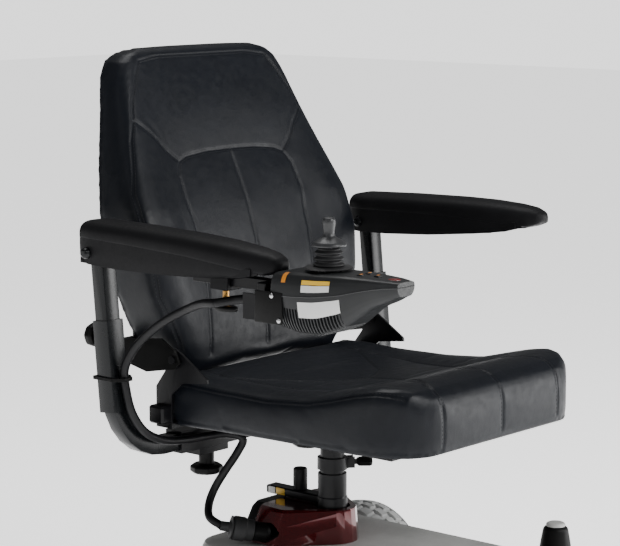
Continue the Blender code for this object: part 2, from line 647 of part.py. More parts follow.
def seat_frame():
    """Swivel plate, channels, seat pan, arm receiver tube and the backrest's hinge plates."""
    pan_top = PAN_BOTTOM + 0.0090
    pan = place("seat_frame", block((-0.180, -0.262, PAN_BOTTOM), (0.180, 0.104, pan_top), 0.001),
                "black_steel")
    cross_front, cross_rear = 0.1180, 0.1500
    hinge_plate = [(cross_front, PAN_BOTTOM + 0.001), (cross_rear, PAN_BOTTOM + 0.001),
                   (cross_rear, HINGE_Z - 0.045), (HINGE_Y + 0.021, HINGE_Z - 0.020),
                   (HINGE_Y + 0.017, HINGE_Z - 0.004), (HINGE_Y + 0.012, HINGE_Z + 0.010),
                   (HINGE_Y, HINGE_Z + 0.016), (HINGE_Y - 0.014, HINGE_Z + 0.009),
                   (HINGE_Y - 0.065, HINGE_Z - 0.023), (HINGE_Y - 0.066, HINGE_Z - 0.029),
                   (HINGE_Y - 0.015, HINGE_Z - 0.035), (cross_front, HINGE_Z - 0.055)]
    parts = [turned([(0.0600, 0.4060), (0.0650, 0.4080), (0.0650, 0.4290)], (0, 0, 0), (0, 0, 1), 24),
             block((-0.192, RECEIVER_Y - 0.0170, RECEIVER_Z - 0.0170),
                   (0.192, RECEIVER_Y + 0.0170, RECEIVER_Z + 0.0170)),
             block((-0.2325, cross_front - 0.0005, PAN_BOTTOM + 0.0005),
                   (0.2325, cross_rear + 0.0005, SEAT_BOTTOM - 2 * GAP))]
    for side in (RIGHT, LEFT):
        parts += [
            mirrored_block(side, (0.085, -0.160, 0.4080), (0.110, 0.1420, 0.4285)),
            mirrored_block(side, (0.086, 0.0900, 0.4180), (0.109, 0.1300, 0.4340)),
            mirrored_block(side, (0.088, RECEIVER_Y - 0.0165, RECEIVER_Z - 0.0270),
                           (0.152, RECEIVER_Y + 0.0165, RECEIVER_Z - 0.0160)),
            mirrored_block(side, (0.2300, cross_front + 0.001, 0.4370), (0.2520, cross_rear - 0.001, 0.4640),
                           0.003),
            prism(hinge_plate, "X", *sorted((side * PLATE_IN, side * PLATE_OUT))),
            rod((side * (PLATE_IN - 0.0015), HINGE_Y, HINGE_Z),
                (side * (FOLD_OUT + 0.0030), HINGE_Y, HINGE_Z), 0.0060, 20),
        ]
    join(pan, *parts)
    bore = 0.0133
    cut(pan, block((-0.210, RECEIVER_Y - bore, RECEIVER_Z - bore),
                   (0.210, RECEIVER_Y + bore, RECEIVER_Z + bore)))


def seat_cushion():
    """Upholstered seat block: low at the rear, with a thick rolled front and rounded front corners."""
    sections = [  # y, half width, bottom, top, edge radius
        (0.1520, 0.2150, 0.4440, 0.4840, 0.010), (0.1440, 0.2250, SEAT_BOTTOM, 0.4930, 0.014),
        (0.1060, 0.2265, SEAT_BOTTOM, 0.5010, 0.016), (0.0400, 0.2265, SEAT_BOTTOM, 0.5030, 0.016),
        (-0.0600, 0.2310, SEAT_BOTTOM, 0.5040, 0.016), (-0.1600, 0.2310, SEAT_BOTTOM, 0.5130, 0.018),
        (-0.2300, 0.2310, SEAT_BOTTOM, 0.5290, 0.020), (-0.2650, 0.2260, SEAT_BOTTOM, 0.5370, 0.022),
        (-0.2930, 0.2120, SEAT_BOTTOM, 0.5400, 0.024), (-0.3120, 0.1880, 0.4400, 0.5360, 0.024),
        (-0.3230, 0.1500, 0.4500, 0.5240, 0.024)]
    rings = []
    for y, half, low, high, corner in sections:
        section = rounded(half, (high - low) / 2, corner, (0, (low + high) / 2))
        rings.append([(x, y, z) for x, z in section])
    place("seat_cushion", loft(rings), "vinyl")


BACK_SECTIONS = [  # height, front y, rear y, half width: it leans back and narrows to a rounded top
    (0.5070, 0.1320, 0.1900, 0.178), (0.5200, 0.1285, 0.2230, 0.190), (0.5450, 0.1285, 0.2330, 0.204),
    (0.5800, 0.1330, 0.2390, 0.219), (0.6240, 0.1400, 0.2460, 0.234), (0.6900, 0.1520, 0.2590, 0.246),
    (0.7500, 0.1720, 0.2700, 0.243), (0.8150, 0.2030, 0.2860, 0.222), (0.8850, 0.2330, 0.3010, 0.204),
    (0.9450, 0.2560, 0.3180, 0.192), (0.9750, 0.2680, 0.3180, 0.178), (0.9880, 0.2790, 0.3060, 0.150)]
BACK_SHELL = 0.012


def back_loft(span, side_inset):
    """Skin the backrest's level sections; span turns a section's front and rear into the piece's."""
    rings = []
    for height, front, rear, half in BACK_SECTIONS:
        front, rear = span(front, rear)
        depth = (rear - front) / 2
        corner = min(0.022, depth * 0.85)
        outline = rounded(half - side_inset, depth, corner, (0, front + depth), 4)
        rings.append([(x, y, height) for x, y in outline])
    return loft(rings)


def backrest():
    """Cushion, its rear shell, and the folding arms at its sides."""
    at = (0, HINGE_Y, HINGE_Z)
    place("back_cushion", back_loft(lambda front, rear: (front, rear - BACK_SHELL - GAP), 0), "vinyl", at=at)
    panel = place("back_shell", back_loft(lambda front, rear: (rear - BACK_SHELL, rear), 0.006),
                  "black_plastic", at=at)
    fold = [(HINGE_Y - 0.014, HINGE_Z - 0.004), (HINGE_Y - 0.004, HINGE_Z - 0.014),
            (HINGE_Y + 0.055, HINGE_Z - 0.025), (0.2335, 0.5250), (0.2335, 0.5530),
            (HINGE_Y + 0.040, HINGE_Z + 0.025), (HINGE_Y - 0.004, HINGE_Z + 0.014)]
    arms = []
    bores = []
    for side in (RIGHT, LEFT):
        arms.append(prism(fold, "X", *sorted((side * FOLD_IN, side * FOLD_OUT))))
        arms.append(mirrored_block(side, (0.1500, 0.2240, 0.5280), (0.2380, 0.2340, 0.5520)))
        bores.append(rod((side * 0.228, HINGE_Y, HINGE_Z), (side * 0.244, HINGE_Y, HINGE_Z), 0.0064, 20))
    join(panel, *arms, at=at)
    cut(panel, *bores, at=at)


# ---- arms ---------------------------------------------------------------------------------------
def leaning_bar(x, half_x, half_y, low, high, corner=0.002):
    return sweep([(x, lean_y(low), low), (x, lean_y(high), high)], half_x, half_y, (1, 0, 0), corner)


def arm_hangers():
    """Curved tube out of the receiver, up into the sleeve that takes the upright."""
    for side in (RIGHT, LEFT):
        x = side * ARM_X
        path = [(side * 0.095, RECEIVER_Y, RECEIVER_Z), (side * (ARM_X - BEND_R), RECEIVER_Y, RECEIVER_Z)]
        for step in range(1, 7):
            turn = math.radians(15 * step)
            z = RECEIVER_Z + BEND_R * (1 - math.cos(turn))
            path.append((side * (ARM_X - BEND_R + BEND_R * math.sin(turn)), lean_y(z), z))
        path.append((x, lean_y(0.4880), 0.4880))
        hanger = place(f"arm_hanger_{side_name(side)}",
                       sweep(path, 0.0130, 0.0130, (0, 1, 0), 0.0025), "black_steel")
        join(hanger, leaning_bar(x, SLEEVE_X, SLEEVE_Y, SLEEVE_BOTTOM, SLEEVE_TOP))
        cut(hanger, leaning_bar(x, BAR_X + 0.0004, BAR_Y + 0.0004, 0.500, SLEEVE_TOP + 0.020, 0.0015))


def arm_pivot(side):
    """The armrest's hinge, on the upright's middle line."""
    return side * ARM_X, lean_y(PIVOT_Z[side]), PIVOT_Z[side]


def clamp_knobs():
    """Knobs that clamp the arm height, at the sleeves' backs, and the arm width, under the receiver."""
    for side in (RIGHT, LEFT):
        height = 0.5725
        at_sleeve = (side * ARM_X, lean_y(height) + SLEEVE_Y + 0.0012, height)
        place(f"height_knob_{side_name(side)}", knob(at_sleeve, (0, 1, 0), 0.0185, 0.016, 0.0070, 0.006),
              "black_plastic", at=at_sleeve)
        under = (side * 0.1200, RECEIVER_Y, RECEIVER_Z - 0.0270 - GAP)
        place(f"width_knob_{side_name(side)}", knob(under, (0, 0, -1), 0.0260, 0.0145, 0.0120, 0.020),
              "black_plastic", at=under)


def arm_uprights():
    """Bars in the sleeves, each with the armrest's pivot bolt through its top."""
    for side in (RIGHT, LEFT):
        pivot = x, y, z = arm_pivot(side)
        bar = place(f"arm_upright_{side_name(side)}", leaning_bar(x, BAR_X, BAR_Y, 0.520, z + 0.005),
                    "black_steel", at=pivot)
        head = [(0.0085, 0), (0.0085, 0.003), (0.0050, 0.0055)]
        domed_nut = [(0.0085, 0), (0.0085, 0.005), (0.0070, 0.0090), (0.0040, 0.0109)]
        join(bar, rod((x - 0.030, y, z), (x + 0.030, y, z), 0.0045, 16),
             turned(head, (x - side * 0.0291, y, z), (-side, 0, 0), 20),
             turned(domed_nut, (x + side * 0.0291, y, z), (side, 0, 0), 20), at=pivot)


PAD_LOW, PAD_HIGH = 0.018, 0.047
WEB_LOW = 0.0142


def arm_section(half, low, high, corner, y):
    return [(x, y, z) for x, z in rounded(half, (high - low) / 2, corner, (0, (low + high) / 2), 3)]


def armrests():
    """Flip-up armrests: a moulded channel over the upright's top and the pad on it."""
    for side in (RIGHT, LEFT):
        name = side_name(side)
        pivot, tilt = arm_pivot(side), ARM_TILT[side]

        def moved(ring):
            return [Vector(point) + Vector(pivot) for point in ring]

        sections = [(PAD_REAR, 0.0250, 0.020, 0.0440), (PAD_REAR - 0.008, 0.0320, PAD_LOW, PAD_HIGH),
                    (-0.120, 0.0325, PAD_LOW, PAD_HIGH), (-0.230, 0.0310, PAD_LOW, PAD_HIGH),
                    (-0.310, 0.0270, PAD_LOW, PAD_HIGH), (-0.344, 0.0225, PAD_LOW + 0.001, PAD_HIGH - 0.002),
                    (PAD_FRONT, 0.0140, PAD_LOW + 0.006, PAD_HIGH - 0.008)]
        pad = loft([moved(arm_section(half, low, high, 0.0095, y)) for y, half, low, high in sections])
        place(f"armrest_pad_{name}", pad, "arm_pad", at=pivot, tilt=tilt)

        bottoms = [(PAD_REAR - 0.009, -0.016), (-0.060, -0.016), (-0.150, -0.012), (-0.272, -0.002),
                   (-0.320, 0.008)]
        channel = place(f"armrest_frame_{name}",
                        loft([moved([(-0.0280, y, low), (0.0280, y, low), (0.0280, y, PAD_LOW - GAP),
                                     (-0.0280, y, PAD_LOW - GAP)]) for y, low in bottoms]),
                        "black_plastic", at=pivot, tilt=tilt)
        slot_bottoms = [(PAD_REAR + 0.004, -0.030), (-0.335, -0.030)]
        slot = [moved([(-0.0165, y, low), (0.0165, y, low), (0.0165, y, WEB_LOW), (-0.0165, y, WEB_LOW)])
                for y, low in slot_bottoms]
        across = Vector((0.040, 0, 0))
        cut(channel, loft(slot), rod(Vector(pivot) - across, Vector(pivot) + across, 0.0049, 16),
            at=pivot, tilt=tilt)
        if side == RIGHT:
            join(channel, block((CTRL_X - 0.0150, CLAMP_Y - 0.017, RAIL_Z - 0.0140),
                                (CTRL_X + 0.0150, CLAMP_Y + 0.017, RAIL_Z + 0.0230), 0.001))
            cut(channel, block((CTRL_X - RAIL_SLOT, -0.100, RAIL_Z - RAIL_SLOT),
                               (CTRL_X + RAIL_SLOT, -0.020, RAIL_Z + RAIL_SLOT)))


# ---- controller ---------------------------------------------------------------------------------
def controller_mount():
    """Slide bar under the right pad with the plate that holds the controller, and its clamp."""
    rail = block((CTRL_X - RAIL_HALF, -0.1500, RAIL_Z - RAIL_HALF),
                 (CTRL_X + RAIL_HALF, -0.005, RAIL_Z + RAIL_HALF), 0.001)
    bar = place("controller_mount", rail, "black_steel")
    join(bar, block((CTRL_X - 0.0300, -0.1640, 0.6350), (CTRL_X + 0.0300, -0.1480, RAIL_Z + 0.0075), 0.0015),
         block((CTRL_X - 0.0260, -0.1500, 0.6360), (CTRL_X - 0.0220, -0.1180, 0.6720)))
    under = (CTRL_X, CLAMP_Y, RAIL_Z - 0.0140 - GAP)
    place("clamp_knob", knob(under, (0, 0, -1), 0.0125, 0.009, 0.0045, 0.011, 6), "black_plastic", at=under)


def hull_section(y, half, deck, sheer, keel):
    """One boat section of the controller: the deck, the split line (sheer) and the keel."""
    return {"y": y, "half": half, "deck": deck, "sheer": sheer, "keel": keel}


HULL = [
    hull_section(CTRL_REAR, 0.0340, 0.7020, 0.6780, 0.6400),
    hull_section(-0.1815, 0.0405, 0.7080, 0.6780, 0.6330),
    hull_section(-0.2200, 0.0440, CTRL_DECK, 0.6790, 0.6260),
    hull_section(-0.2600, 0.0430, 0.7130, 0.6820, 0.6270),
    hull_section(-0.3000, 0.0390, 0.7140, 0.6880, 0.6420),
    hull_section(-0.3400, 0.0310, 0.7130, 0.6980, 0.6720),
    hull_section(-0.3700, 0.0210, 0.7120, 0.7050, 0.6900),
    hull_section(CTRL_TIP, 0.0110, 0.7115, 0.7080, 0.7010),
]
UPPER_OUTLINE = ((1.0, 0), (0.97, 0.45), (0.86, 0.85), (0.70, 1.0))    # of the half width, of the rise
LOWER_OUTLINE = ((1.0, 0), (0.96, 0.30), (0.80, 0.75), (0.52, 1.0))    # of the half width, of the drop


def hull_ring(cross, outline, height):
    """Close a half outline over a section; it starts at the sheer and ends at the middle."""
    both = [(1, *point) for point in outline] + [(-1, *point) for point in reversed(outline)]
    return [(CTRL_X + side * cross["half"] * wide, cross["y"], height(cross, part))
            for side, wide, part in both]


BUTTONS = [("power_button", -0.0090, -0.3160), ("horn_button", 0.0090, -0.3160),
           ("speed_rocker", 0.0, -0.3380)]
BUTTON_FOOT, BUTTON_FACE = 0.7090, 0.7152


def controller():
    """Two shells split along the sheer line, and the keypad's buttons in their wells."""
    def up(cross, part):
        return cross["sheer"] + GAP + (cross["deck"] - cross["sheer"]) * part

    def down(cross, part):
        return cross["sheer"] - (cross["sheer"] - cross["keel"]) * part

    ahead_of_pad = [cross for cross in HULL if cross["y"] < PAD_TIP_Y]
    place("controller_lower", loft([hull_ring(cross, LOWER_OUTLINE, down) for cross in HULL]), "grey_plastic")
    top = place("controller_upper", loft([hull_ring(cross, UPPER_OUTLINE, up) for cross in ahead_of_pad]),
                "grey_plastic")
    holes = [rod((CTRL_X, STICK_Y, 0.6900), (CTRL_X, STICK_Y, 0.7300), 0.0200, 28)]
    for name, x, y in BUTTONS:
        middle = CTRL_X + x
        holes.append(block((middle - 0.0055, y - 0.0045, 0.7060), (middle + 0.0055, y + 0.0045, 0.7200)))
        key = block((middle - 0.0050, y - 0.0040, BUTTON_FOOT),
                    (middle + 0.0050, y + 0.0040, BUTTON_FACE), 0.0008)
        place(name, key, "button", at=(middle, y, BUTTON_FOOT))
    cut(top, *holes)


def joystick():
    """Gimbal inside the housing, bellows over it, and the stick with its skirt and knob."""
    centre = (CTRL_X, STICK_Y, GIMBAL_Z)
    ring = [(0.0105, -0.0030), (0.0150, -0.0030), (0.0150, 0.0030), (0.0105, 0.0030)]
    place("joystick_gimbal", turned(ring, centre, (0, 0, 1), 20, True), "aluminium", at=centre)
    stick = [(0.0045, -0.0040), (0.0045, 0.0370), (0.0235, 0.0385), (0.0240, 0.0410), (0.0140, 0.0475),
             (0.0075, 0.0510), (0.0080, 0.0580), (0.0086, 0.0700), (0.0080, 0.0750), (0.0052, 0.0775)]
    place("joystick", turned(stick, centre, (0, 0, 1), 24), "grey_plastic", at=centre)
    outer = [(0.0330, 0.0075), (0.0330, 0.0095), (0.0200, 0.0125), (0.0210, 0.0190), (0.0170, 0.0225),
             (0.0195, 0.0300), (0.0150, 0.0360)]
    inner = [(0.0135, 0.0350), (0.0165, 0.0290), (0.0145, 0.0220), (0.0180, 0.0180), (0.0175, 0.0075)]
    place("joystick_gaiter", turned(outer + inner, centre, (0, 0, 1), 18, True), "gaiter_rubber", at=centre)


# ---- joystick lead ------------------------------------------------------------------------------
LEAD_ROUTE = [
    (-0.3050, -0.1476, 0.6620), (-0.3050, -0.1200, 0.6602), (-0.3125, -0.0920, 0.6570),
    (-0.3265, -0.0640, 0.6510), (-0.3170, -0.0250, 0.6440), (-0.3060, 0.0150, 0.6300),
    (-0.3040, 0.0550, 0.6110), (-0.3040, 0.0950, 0.5850), (-0.3060, 0.1250, 0.5560),
    (-0.3080, 0.1400, 0.5270), (-0.3060, 0.1390, 0.4950), (-0.2980, 0.1350, 0.4600),
    (-0.2760, 0.1310, 0.4290), (-0.2400, 0.1280, 0.4110), (-0.1950, 0.1270, 0.4040),
    (-0.1500, 0.1250, 0.4020), (-0.1180, 0.1120, 0.4020), (-0.1000, 0.0960, 0.3940),
    (-0.1050, 0.1030, 0.3720), (-0.1160, 0.1190, 0.3420), (-0.1240, 0.1335, 0.3140),
    (-0.1360, 0.1345, 0.2910), (-0.1500, 0.1200, 0.2755)]
SLEEVE_CLIP, SEAT_CLIP = 9, 15            # route points held by the sleeve's tie and by the seat's clip
CLIP_REACH = 0.006


def joystick_lead():
    """The lead from the controller to its plug, in the three stretches between its clips."""
    entry = PLUG_REAR - 0.0145 * PLUG_AXIS
    route = [Vector(point) for point in LEAD_ROUTE] + [entry]
    names = ("lead_arm", "lead_hanger", "lead_drop")
    stops = (0, SLEEVE_CLIP, SEAT_CLIP, len(route) - 1)
    for name, first, last in zip(names, stops, stops[1:]):
        path = curve_through(route[first:last + 1], 0.018)
        if first != stops[0]:
            along = (route[first + 1] - route[first - 1]).normalized()
            path[:1] = [route[first] + along * GAP, route[first] + along * CLIP_REACH]
        if last != stops[-1]:
            along = (route[last + 1] - route[last - 1]).normalized()
            path[-1:] = [route[last] - along * CLIP_REACH, route[last] - along * GAP]
        else:
            path[-1:] = [entry - CLIP_REACH * PLUG_AXIS, entry]
        cable(name, path)


base_frame()
batteries()
gear_motors()
freewheel_levers()
drive_wheels()
casters()
anti_tip_wheels()
deck_cover()
shroud()
rear_cover()
power_module()
footrest()
post_socket()
height_pin()
seat_post()
swivel_lever()
seat_frame()
seat_cushion()
backrest()
arm_hangers()
clamp_knobs()
arm_uprights()
armrests()
controller_mount()
controller()
joystick()
joystick_lead()
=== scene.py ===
"""The looks of a compact power wheelchair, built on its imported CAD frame.

Metres, +Z up. Places are given in chair coordinates, from the seat post's axis, and at() moves
them into the frame. The user faces -Y, and the user's left is +X.
"""
import json
import math

import bmesh
import bpy
import numpy as np
from mathutils import Matrix, Vector
from mathutils.bvhtree import BVHTree
from mathutils.kdtree import KDTree

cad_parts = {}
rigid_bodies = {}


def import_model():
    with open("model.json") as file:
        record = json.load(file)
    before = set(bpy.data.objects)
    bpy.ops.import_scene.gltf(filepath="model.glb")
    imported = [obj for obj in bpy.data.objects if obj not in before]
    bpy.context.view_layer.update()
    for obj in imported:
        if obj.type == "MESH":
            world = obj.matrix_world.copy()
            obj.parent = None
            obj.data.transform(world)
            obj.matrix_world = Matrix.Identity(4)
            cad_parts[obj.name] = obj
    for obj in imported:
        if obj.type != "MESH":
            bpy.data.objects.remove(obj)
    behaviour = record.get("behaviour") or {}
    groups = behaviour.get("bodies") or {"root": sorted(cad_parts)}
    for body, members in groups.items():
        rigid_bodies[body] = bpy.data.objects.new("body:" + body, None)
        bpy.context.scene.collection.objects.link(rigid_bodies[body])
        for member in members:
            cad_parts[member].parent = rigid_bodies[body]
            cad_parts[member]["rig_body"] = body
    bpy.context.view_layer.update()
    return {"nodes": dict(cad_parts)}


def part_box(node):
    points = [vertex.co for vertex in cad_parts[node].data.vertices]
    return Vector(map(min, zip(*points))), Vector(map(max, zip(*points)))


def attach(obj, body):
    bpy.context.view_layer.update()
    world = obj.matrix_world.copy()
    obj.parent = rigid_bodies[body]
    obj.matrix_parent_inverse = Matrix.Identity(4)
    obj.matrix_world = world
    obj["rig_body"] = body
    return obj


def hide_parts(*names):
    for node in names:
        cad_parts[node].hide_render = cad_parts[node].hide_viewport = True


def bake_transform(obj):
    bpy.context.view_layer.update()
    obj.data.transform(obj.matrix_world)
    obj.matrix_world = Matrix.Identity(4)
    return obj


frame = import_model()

RIGHT, LEFT = -1, 1
SIDES = {RIGHT: "right", LEFT: "left"}


def middle(node):
    low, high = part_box(node)
    return (low + high) / 2


POST_Y = middle("seat_post").y


def at(x, y, z):
    """A place given in chair coordinates, in the frame."""
    return Vector((x, y + POST_Y, z))


# ---- materials ----------------------------------------------------------------------------------
EDGE_FROM, EDGE_TO = 0.52, 0.60           # pointiness where wear starts, and where it is complete
FINER = 9                                 # patches of roughness are this many times finer than of tone
SMOOTHEST = 0.02


def add_node(tree, kind, inputs=None, **settings):
    node = tree.nodes.new(kind)
    for name, value in settings.items():
        setattr(node, name, value)
    for name, value in (inputs or {}).items():
        if isinstance(value, bpy.types.NodeSocket):
            tree.links.new(value, node.inputs[name])
        else:
            node.inputs[name].default_value = value
    return node


def noise(tree, place, scale, detail=3.0, roughness=0.55):
    wanted = {"Vector": place, "Scale": scale, "Detail": detail, "Roughness": roughness}
    return add_node(tree, "ShaderNodeTexNoise", wanted).outputs["Fac"]


def pebbles(tree, place, scale):
    """Rounded cells with fine creases between them, as on grained vinyl and moulded plastic."""
    cells = add_node(tree, "ShaderNodeTexVoronoi", {"Vector": place, "Scale": scale},
                     feature="SMOOTH_F1")
    return cells.outputs["Distance"]


def bump(tree, height, distance, under=None):
    wanted = {"Height": height, "Distance": distance, "Strength": 1.0}
    if under:
        wanted["Normal"] = under
    return add_node(tree, "ShaderNodeBump", wanted).outputs["Normal"]


def mixed(tree, factor, first, second):
    """One of two colours, or between them, by a factor from 0 to 1."""
    node = tree.nodes.new("ShaderNodeMix")
    node.data_type = "RGBA"
    for number, value in ((0, factor), (6, first), (7, second)):
        if isinstance(value, bpy.types.NodeSocket):
            tree.links.new(value, node.inputs[number])
        else:
            node.inputs[number].default_value = value
    return node.outputs[2]


def between(tree, value, low, high):
    """Map a 0.3 to 0.7 noise value onto a range."""
    wanted = {"Value": value, "From Min": 0.3, "From Max": 0.7, "To Min": low, "To Max": high}
    return add_node(tree, "ShaderNodeMapRange", wanted).outputs["Result"]


def finish_of(name, colour, roughness, metallic=0.0, vary=0.12, patches=14.0, rough_spread=0.06,
              grain=None, ripple=None, wear=None, **uniform):
    """A Principled material whose colour, roughness and bump vary over the surface.

    grain is (cells per metre, depth) of a pebbled skin, ripple is (waves per metre, depth) of a
    gentle unevenness, and wear is (colour, amount) shown on convex edges.
    """
    made = bpy.data.materials.new(name)
    made.use_nodes = True
    tree = made.node_tree
    surface = tree.nodes["Principled BSDF"]
    place = add_node(tree, "ShaderNodeTexCoord").outputs["Object"]
    blotch = noise(tree, place, patches)
    dark = (*[c * (1 - vary) for c in colour], 1)
    light = (*[min(1.0, c * (1 + vary)) for c in colour], 1)
    tone = mixed(tree, between(tree, blotch, 0.0, 1.0), dark, light)
    if wear:
        edge = add_node(tree, "ShaderNodeNewGeometry").outputs["Pointiness"]
        wear_range = {"Value": edge, "From Min": EDGE_FROM, "From Max": EDGE_TO,
                      "To Min": 0.0, "To Max": wear[1]}
        worn = add_node(tree, "ShaderNodeMapRange", wear_range).outputs["Result"]
        tone = mixed(tree, worn, tone, (*wear[0], 1))
    tree.links.new(tone, surface.inputs["Base Color"])
    fine = noise(tree, place, patches * FINER, 2.0)
    tree.links.new(between(tree, fine, max(SMOOTHEST, roughness - rough_spread), roughness + rough_spread),
                   surface.inputs["Roughness"])
    normal = None
    if ripple:
        normal = bump(tree, noise(tree, place, ripple[0], 2.0), ripple[1])
    if grain:
        normal = bump(tree, pebbles(tree, place, grain[0]), grain[1], normal)
    if normal:
        tree.links.new(normal, surface.inputs["Normal"])
    surface.inputs["Metallic"].default_value = metallic
    for socket, value in uniform.items():
        surface.inputs[socket.replace("_", " ")].default_value = value
    return made


def vinyl():
    """Blue-black upholstery vinyl: pebbled grain, faint wrinkles and a soft sheen."""
    return finish_of("vinyl", (0.0034, 0.0046, 0.0075), 0.42, vary=0.12, patches=9, rough_spread=0.05,
                     grain=(900, 0.00010), ripple=(38, 0.0005), Sheen_Weight=0.02, Sheen_Roughness=0.4,
                     Specular_IOR_Level=0.22)


def moulded(name, colour, roughness, grain=1400, depth=0.00005, **more):
    """Moulded plastic with a fine spark-eroded skin."""
    return finish_of(name, colour, roughness, vary=0.10, patches=20, grain=(grain, depth), **more)


MATERIALS = {
    "vinyl": vinyl(),
    "arm_pad": moulded("arm_pad", (0.007, 0.007, 0.008), 0.52, 1100, 0.00007,
                       Specular_IOR_Level=0.14),
    "black_plastic": moulded("black_plastic", (0.004, 0.004, 0.004), 0.44, Specular_IOR_Level=0.15),
    "grey_plastic": moulded("grey_plastic", (0.017, 0.018, 0.019), 0.36, 1800, 0.00003,
                            Specular_IOR_Level=0.28),
    "stick_plastic": moulded("stick_plastic", (0.030, 0.031, 0.033), 0.38, 1600, 0.00003),
    "black_steel": finish_of("black_steel", (0.004, 0.004, 0.005), 0.32, patches=10, rough_spread=0.02,
                             ripple=(30, 0.00005), Specular_IOR_Level=0.20),
    "sleeve_steel": finish_of("sleeve_steel", (0.006, 0.007, 0.008), 0.26, patches=8,
                              rough_spread=0.02, ripple=(24, 0.00004), Specular_IOR_Level=0.28),
    "burgundy": finish_of("burgundy", (0.100, 0.001, 0.003), 0.18, 0.60, vary=0.16, patches=420,
                          rough_spread=0.03, ripple=(18, 0.0002), Coat_Weight=1.0, Coat_Roughness=0.04),
    "silver_plastic": moulded("silver_plastic", (0.520, 0.520, 0.505), 0.38, 1200, 0.00004),
    "tyre": finish_of("tyre", (0.400, 0.405, 0.400), 0.80, vary=0.10, patches=30,
                      grain=(700, 0.00010), wear=((0.30, 0.29, 0.27), 0.5)),
    "rim": finish_of("rim", (0.560, 0.560, 0.570), 0.32, 0.65, patches=22, grain=(1500, 0.00003)),
    "gaiter": finish_of("gaiter", (0.012, 0.012, 0.013), 0.58, patches=40, grain=(1600, 0.00004)),
    "rubber": finish_of("rubber", (0.020, 0.020, 0.021), 0.66, patches=40, grain=(1200, 0.00005)),
    "cable": finish_of("cable", (0.005, 0.005, 0.006), 0.42, patches=50, ripple=(160, 0.0002),
                       Specular_IOR_Level=0.25),
    "cast": finish_of("cast", (0.480, 0.480, 0.475), 0.42, 0.9, patches=26, grain=(520, 0.00022)),
    "case": moulded("case", (0.060, 0.066, 0.074), 0.50, 900, 0.00008),
    "zinc": finish_of("zinc", (0.560, 0.560, 0.570), 0.28, 1.0, patches=60, ripple=(260, 0.00006)),
    "brass": finish_of("brass", (0.620, 0.330, 0.090), 0.34, 0.9, patches=60, ripple=(200, 0.00006)),
    "orange": moulded("orange", (0.780, 0.270, 0.020), 0.42, 1500, 0.00003),
    "label_white": finish_of("label_white", (0.740, 0.740, 0.730), 0.42, vary=0.03, patches=60),
    "label_yellow": finish_of("label_yellow", (0.850, 0.520, 0.050), 0.42, vary=0.04, patches=60),
    "thread": finish_of("thread", (0.012, 0.013, 0.016), 0.80, patches=300, ripple=(1500, 0.0001)),
    "lens_red": finish_of("lens_red", (0.180, 0.010, 0.008), 0.12, vary=0.05, patches=80,
                          Coat_Weight=0.6, Coat_Roughness=0.05),
}


# ---- making pieces ------------------------------------------------------------------------------
def add_piece(name, shape, material, body=None, sharp=32):
    """Link a solid or a mesh as a piece, shade it, and let it ride on a body if one is given."""
    mesh = mesh_from(shape) if isinstance(shape, bmesh.types.BMesh) else shape
    mesh.materials.clear()
    mesh.materials.append(MATERIALS[material])
    mesh.shade_smooth()
    if sharp:
        mesh.set_sharp_from_angle(angle=math.radians(sharp))
    piece = bpy.data.objects.new(name, mesh)
    bpy.context.scene.collection.objects.link(piece)
    if body:
        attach(piece, body)
    return piece


def mesh_from(solid):
    bmesh.ops.recalc_face_normals(solid, faces=solid.faces)
    mesh = bpy.data.meshes.new("shape")
    solid.to_mesh(mesh)
    solid.free()
    return mesh


def evaluated_mesh(piece):
    """The mesh a piece has with its modifiers applied."""
    depsgraph = bpy.context.evaluated_depsgraph_get()
    return bpy.data.meshes.new_from_object(piece.evaluated_get(depsgraph))


def bake(piece):
    """Apply a piece's modifiers."""
    mesh = evaluated_mesh(piece)
    piece.modifiers.clear()
    piece.data = mesh
    return piece


def loft(rings, closed=False):
    solid = bmesh.new()
    rows = [[solid.verts.new(point) for point in ring] for ring in rings]
    count = len(rows[0])
    pairs = list(zip(rows, rows[1:]))
    if closed:
        pairs.append((rows[-1], rows[0]))
    for low, high in pairs:
        for k in range(count):
            solid.faces.new((low[k], low[(k + 1) % count], high[(k + 1) % count], high[k]))
    if not closed:
        solid.faces.new(rows[0][::-1])
        solid.faces.new(rows[-1])
    return solid


def across(axis):
    along = Vector(axis).normalized()
    helper = Vector((0, 0, 1)) if abs(along.z) < 0.9 else Vector((1, 0, 0))
    first = along.cross(helper).normalized()
    return first, along.cross(first)


def lathe(profile, centre, axis, sides=72, closed=False, wave=None):
    """Turn (radius, height) points about an axis; wave(turn, radius, height) may change the radius."""
    first, second = across(axis)
    along = Vector(axis).normalized()
    rings = []
    for radius, height in profile:
        ring = []
        for k in range(sides):
            turn = 2 * math.pi * k / sides
            r = wave(turn, radius, height) if wave else radius
            spoke = first * math.cos(turn) + second * math.sin(turn)
            ring.append(Vector(centre) + along * height + r * spoke)
        rings.append(ring)
    return loft(rings, closed)


def rounded_profile(points, radius):
    """Round a profile's corners, other than its two ends, with short arcs."""
    steps = 4
    made = [points[0]]
    for before, corner, after in zip(points, points[1:], points[2:]):
        a, b, c = Vector(before), Vector(corner), Vector(after)
        reach = min(radius, (a - b).length * 0.45, (c - b).length * 0.45)
        start = b + (a - b).normalized() * reach
        end = b + (c - b).normalized() * reach
        for step in range(steps + 1):
            t = step / steps
            made.append(tuple((1 - t) ** 2 * start + 2 * t * (1 - t) * b + t ** 2 * end))
    made.append(points[-1])
    return made


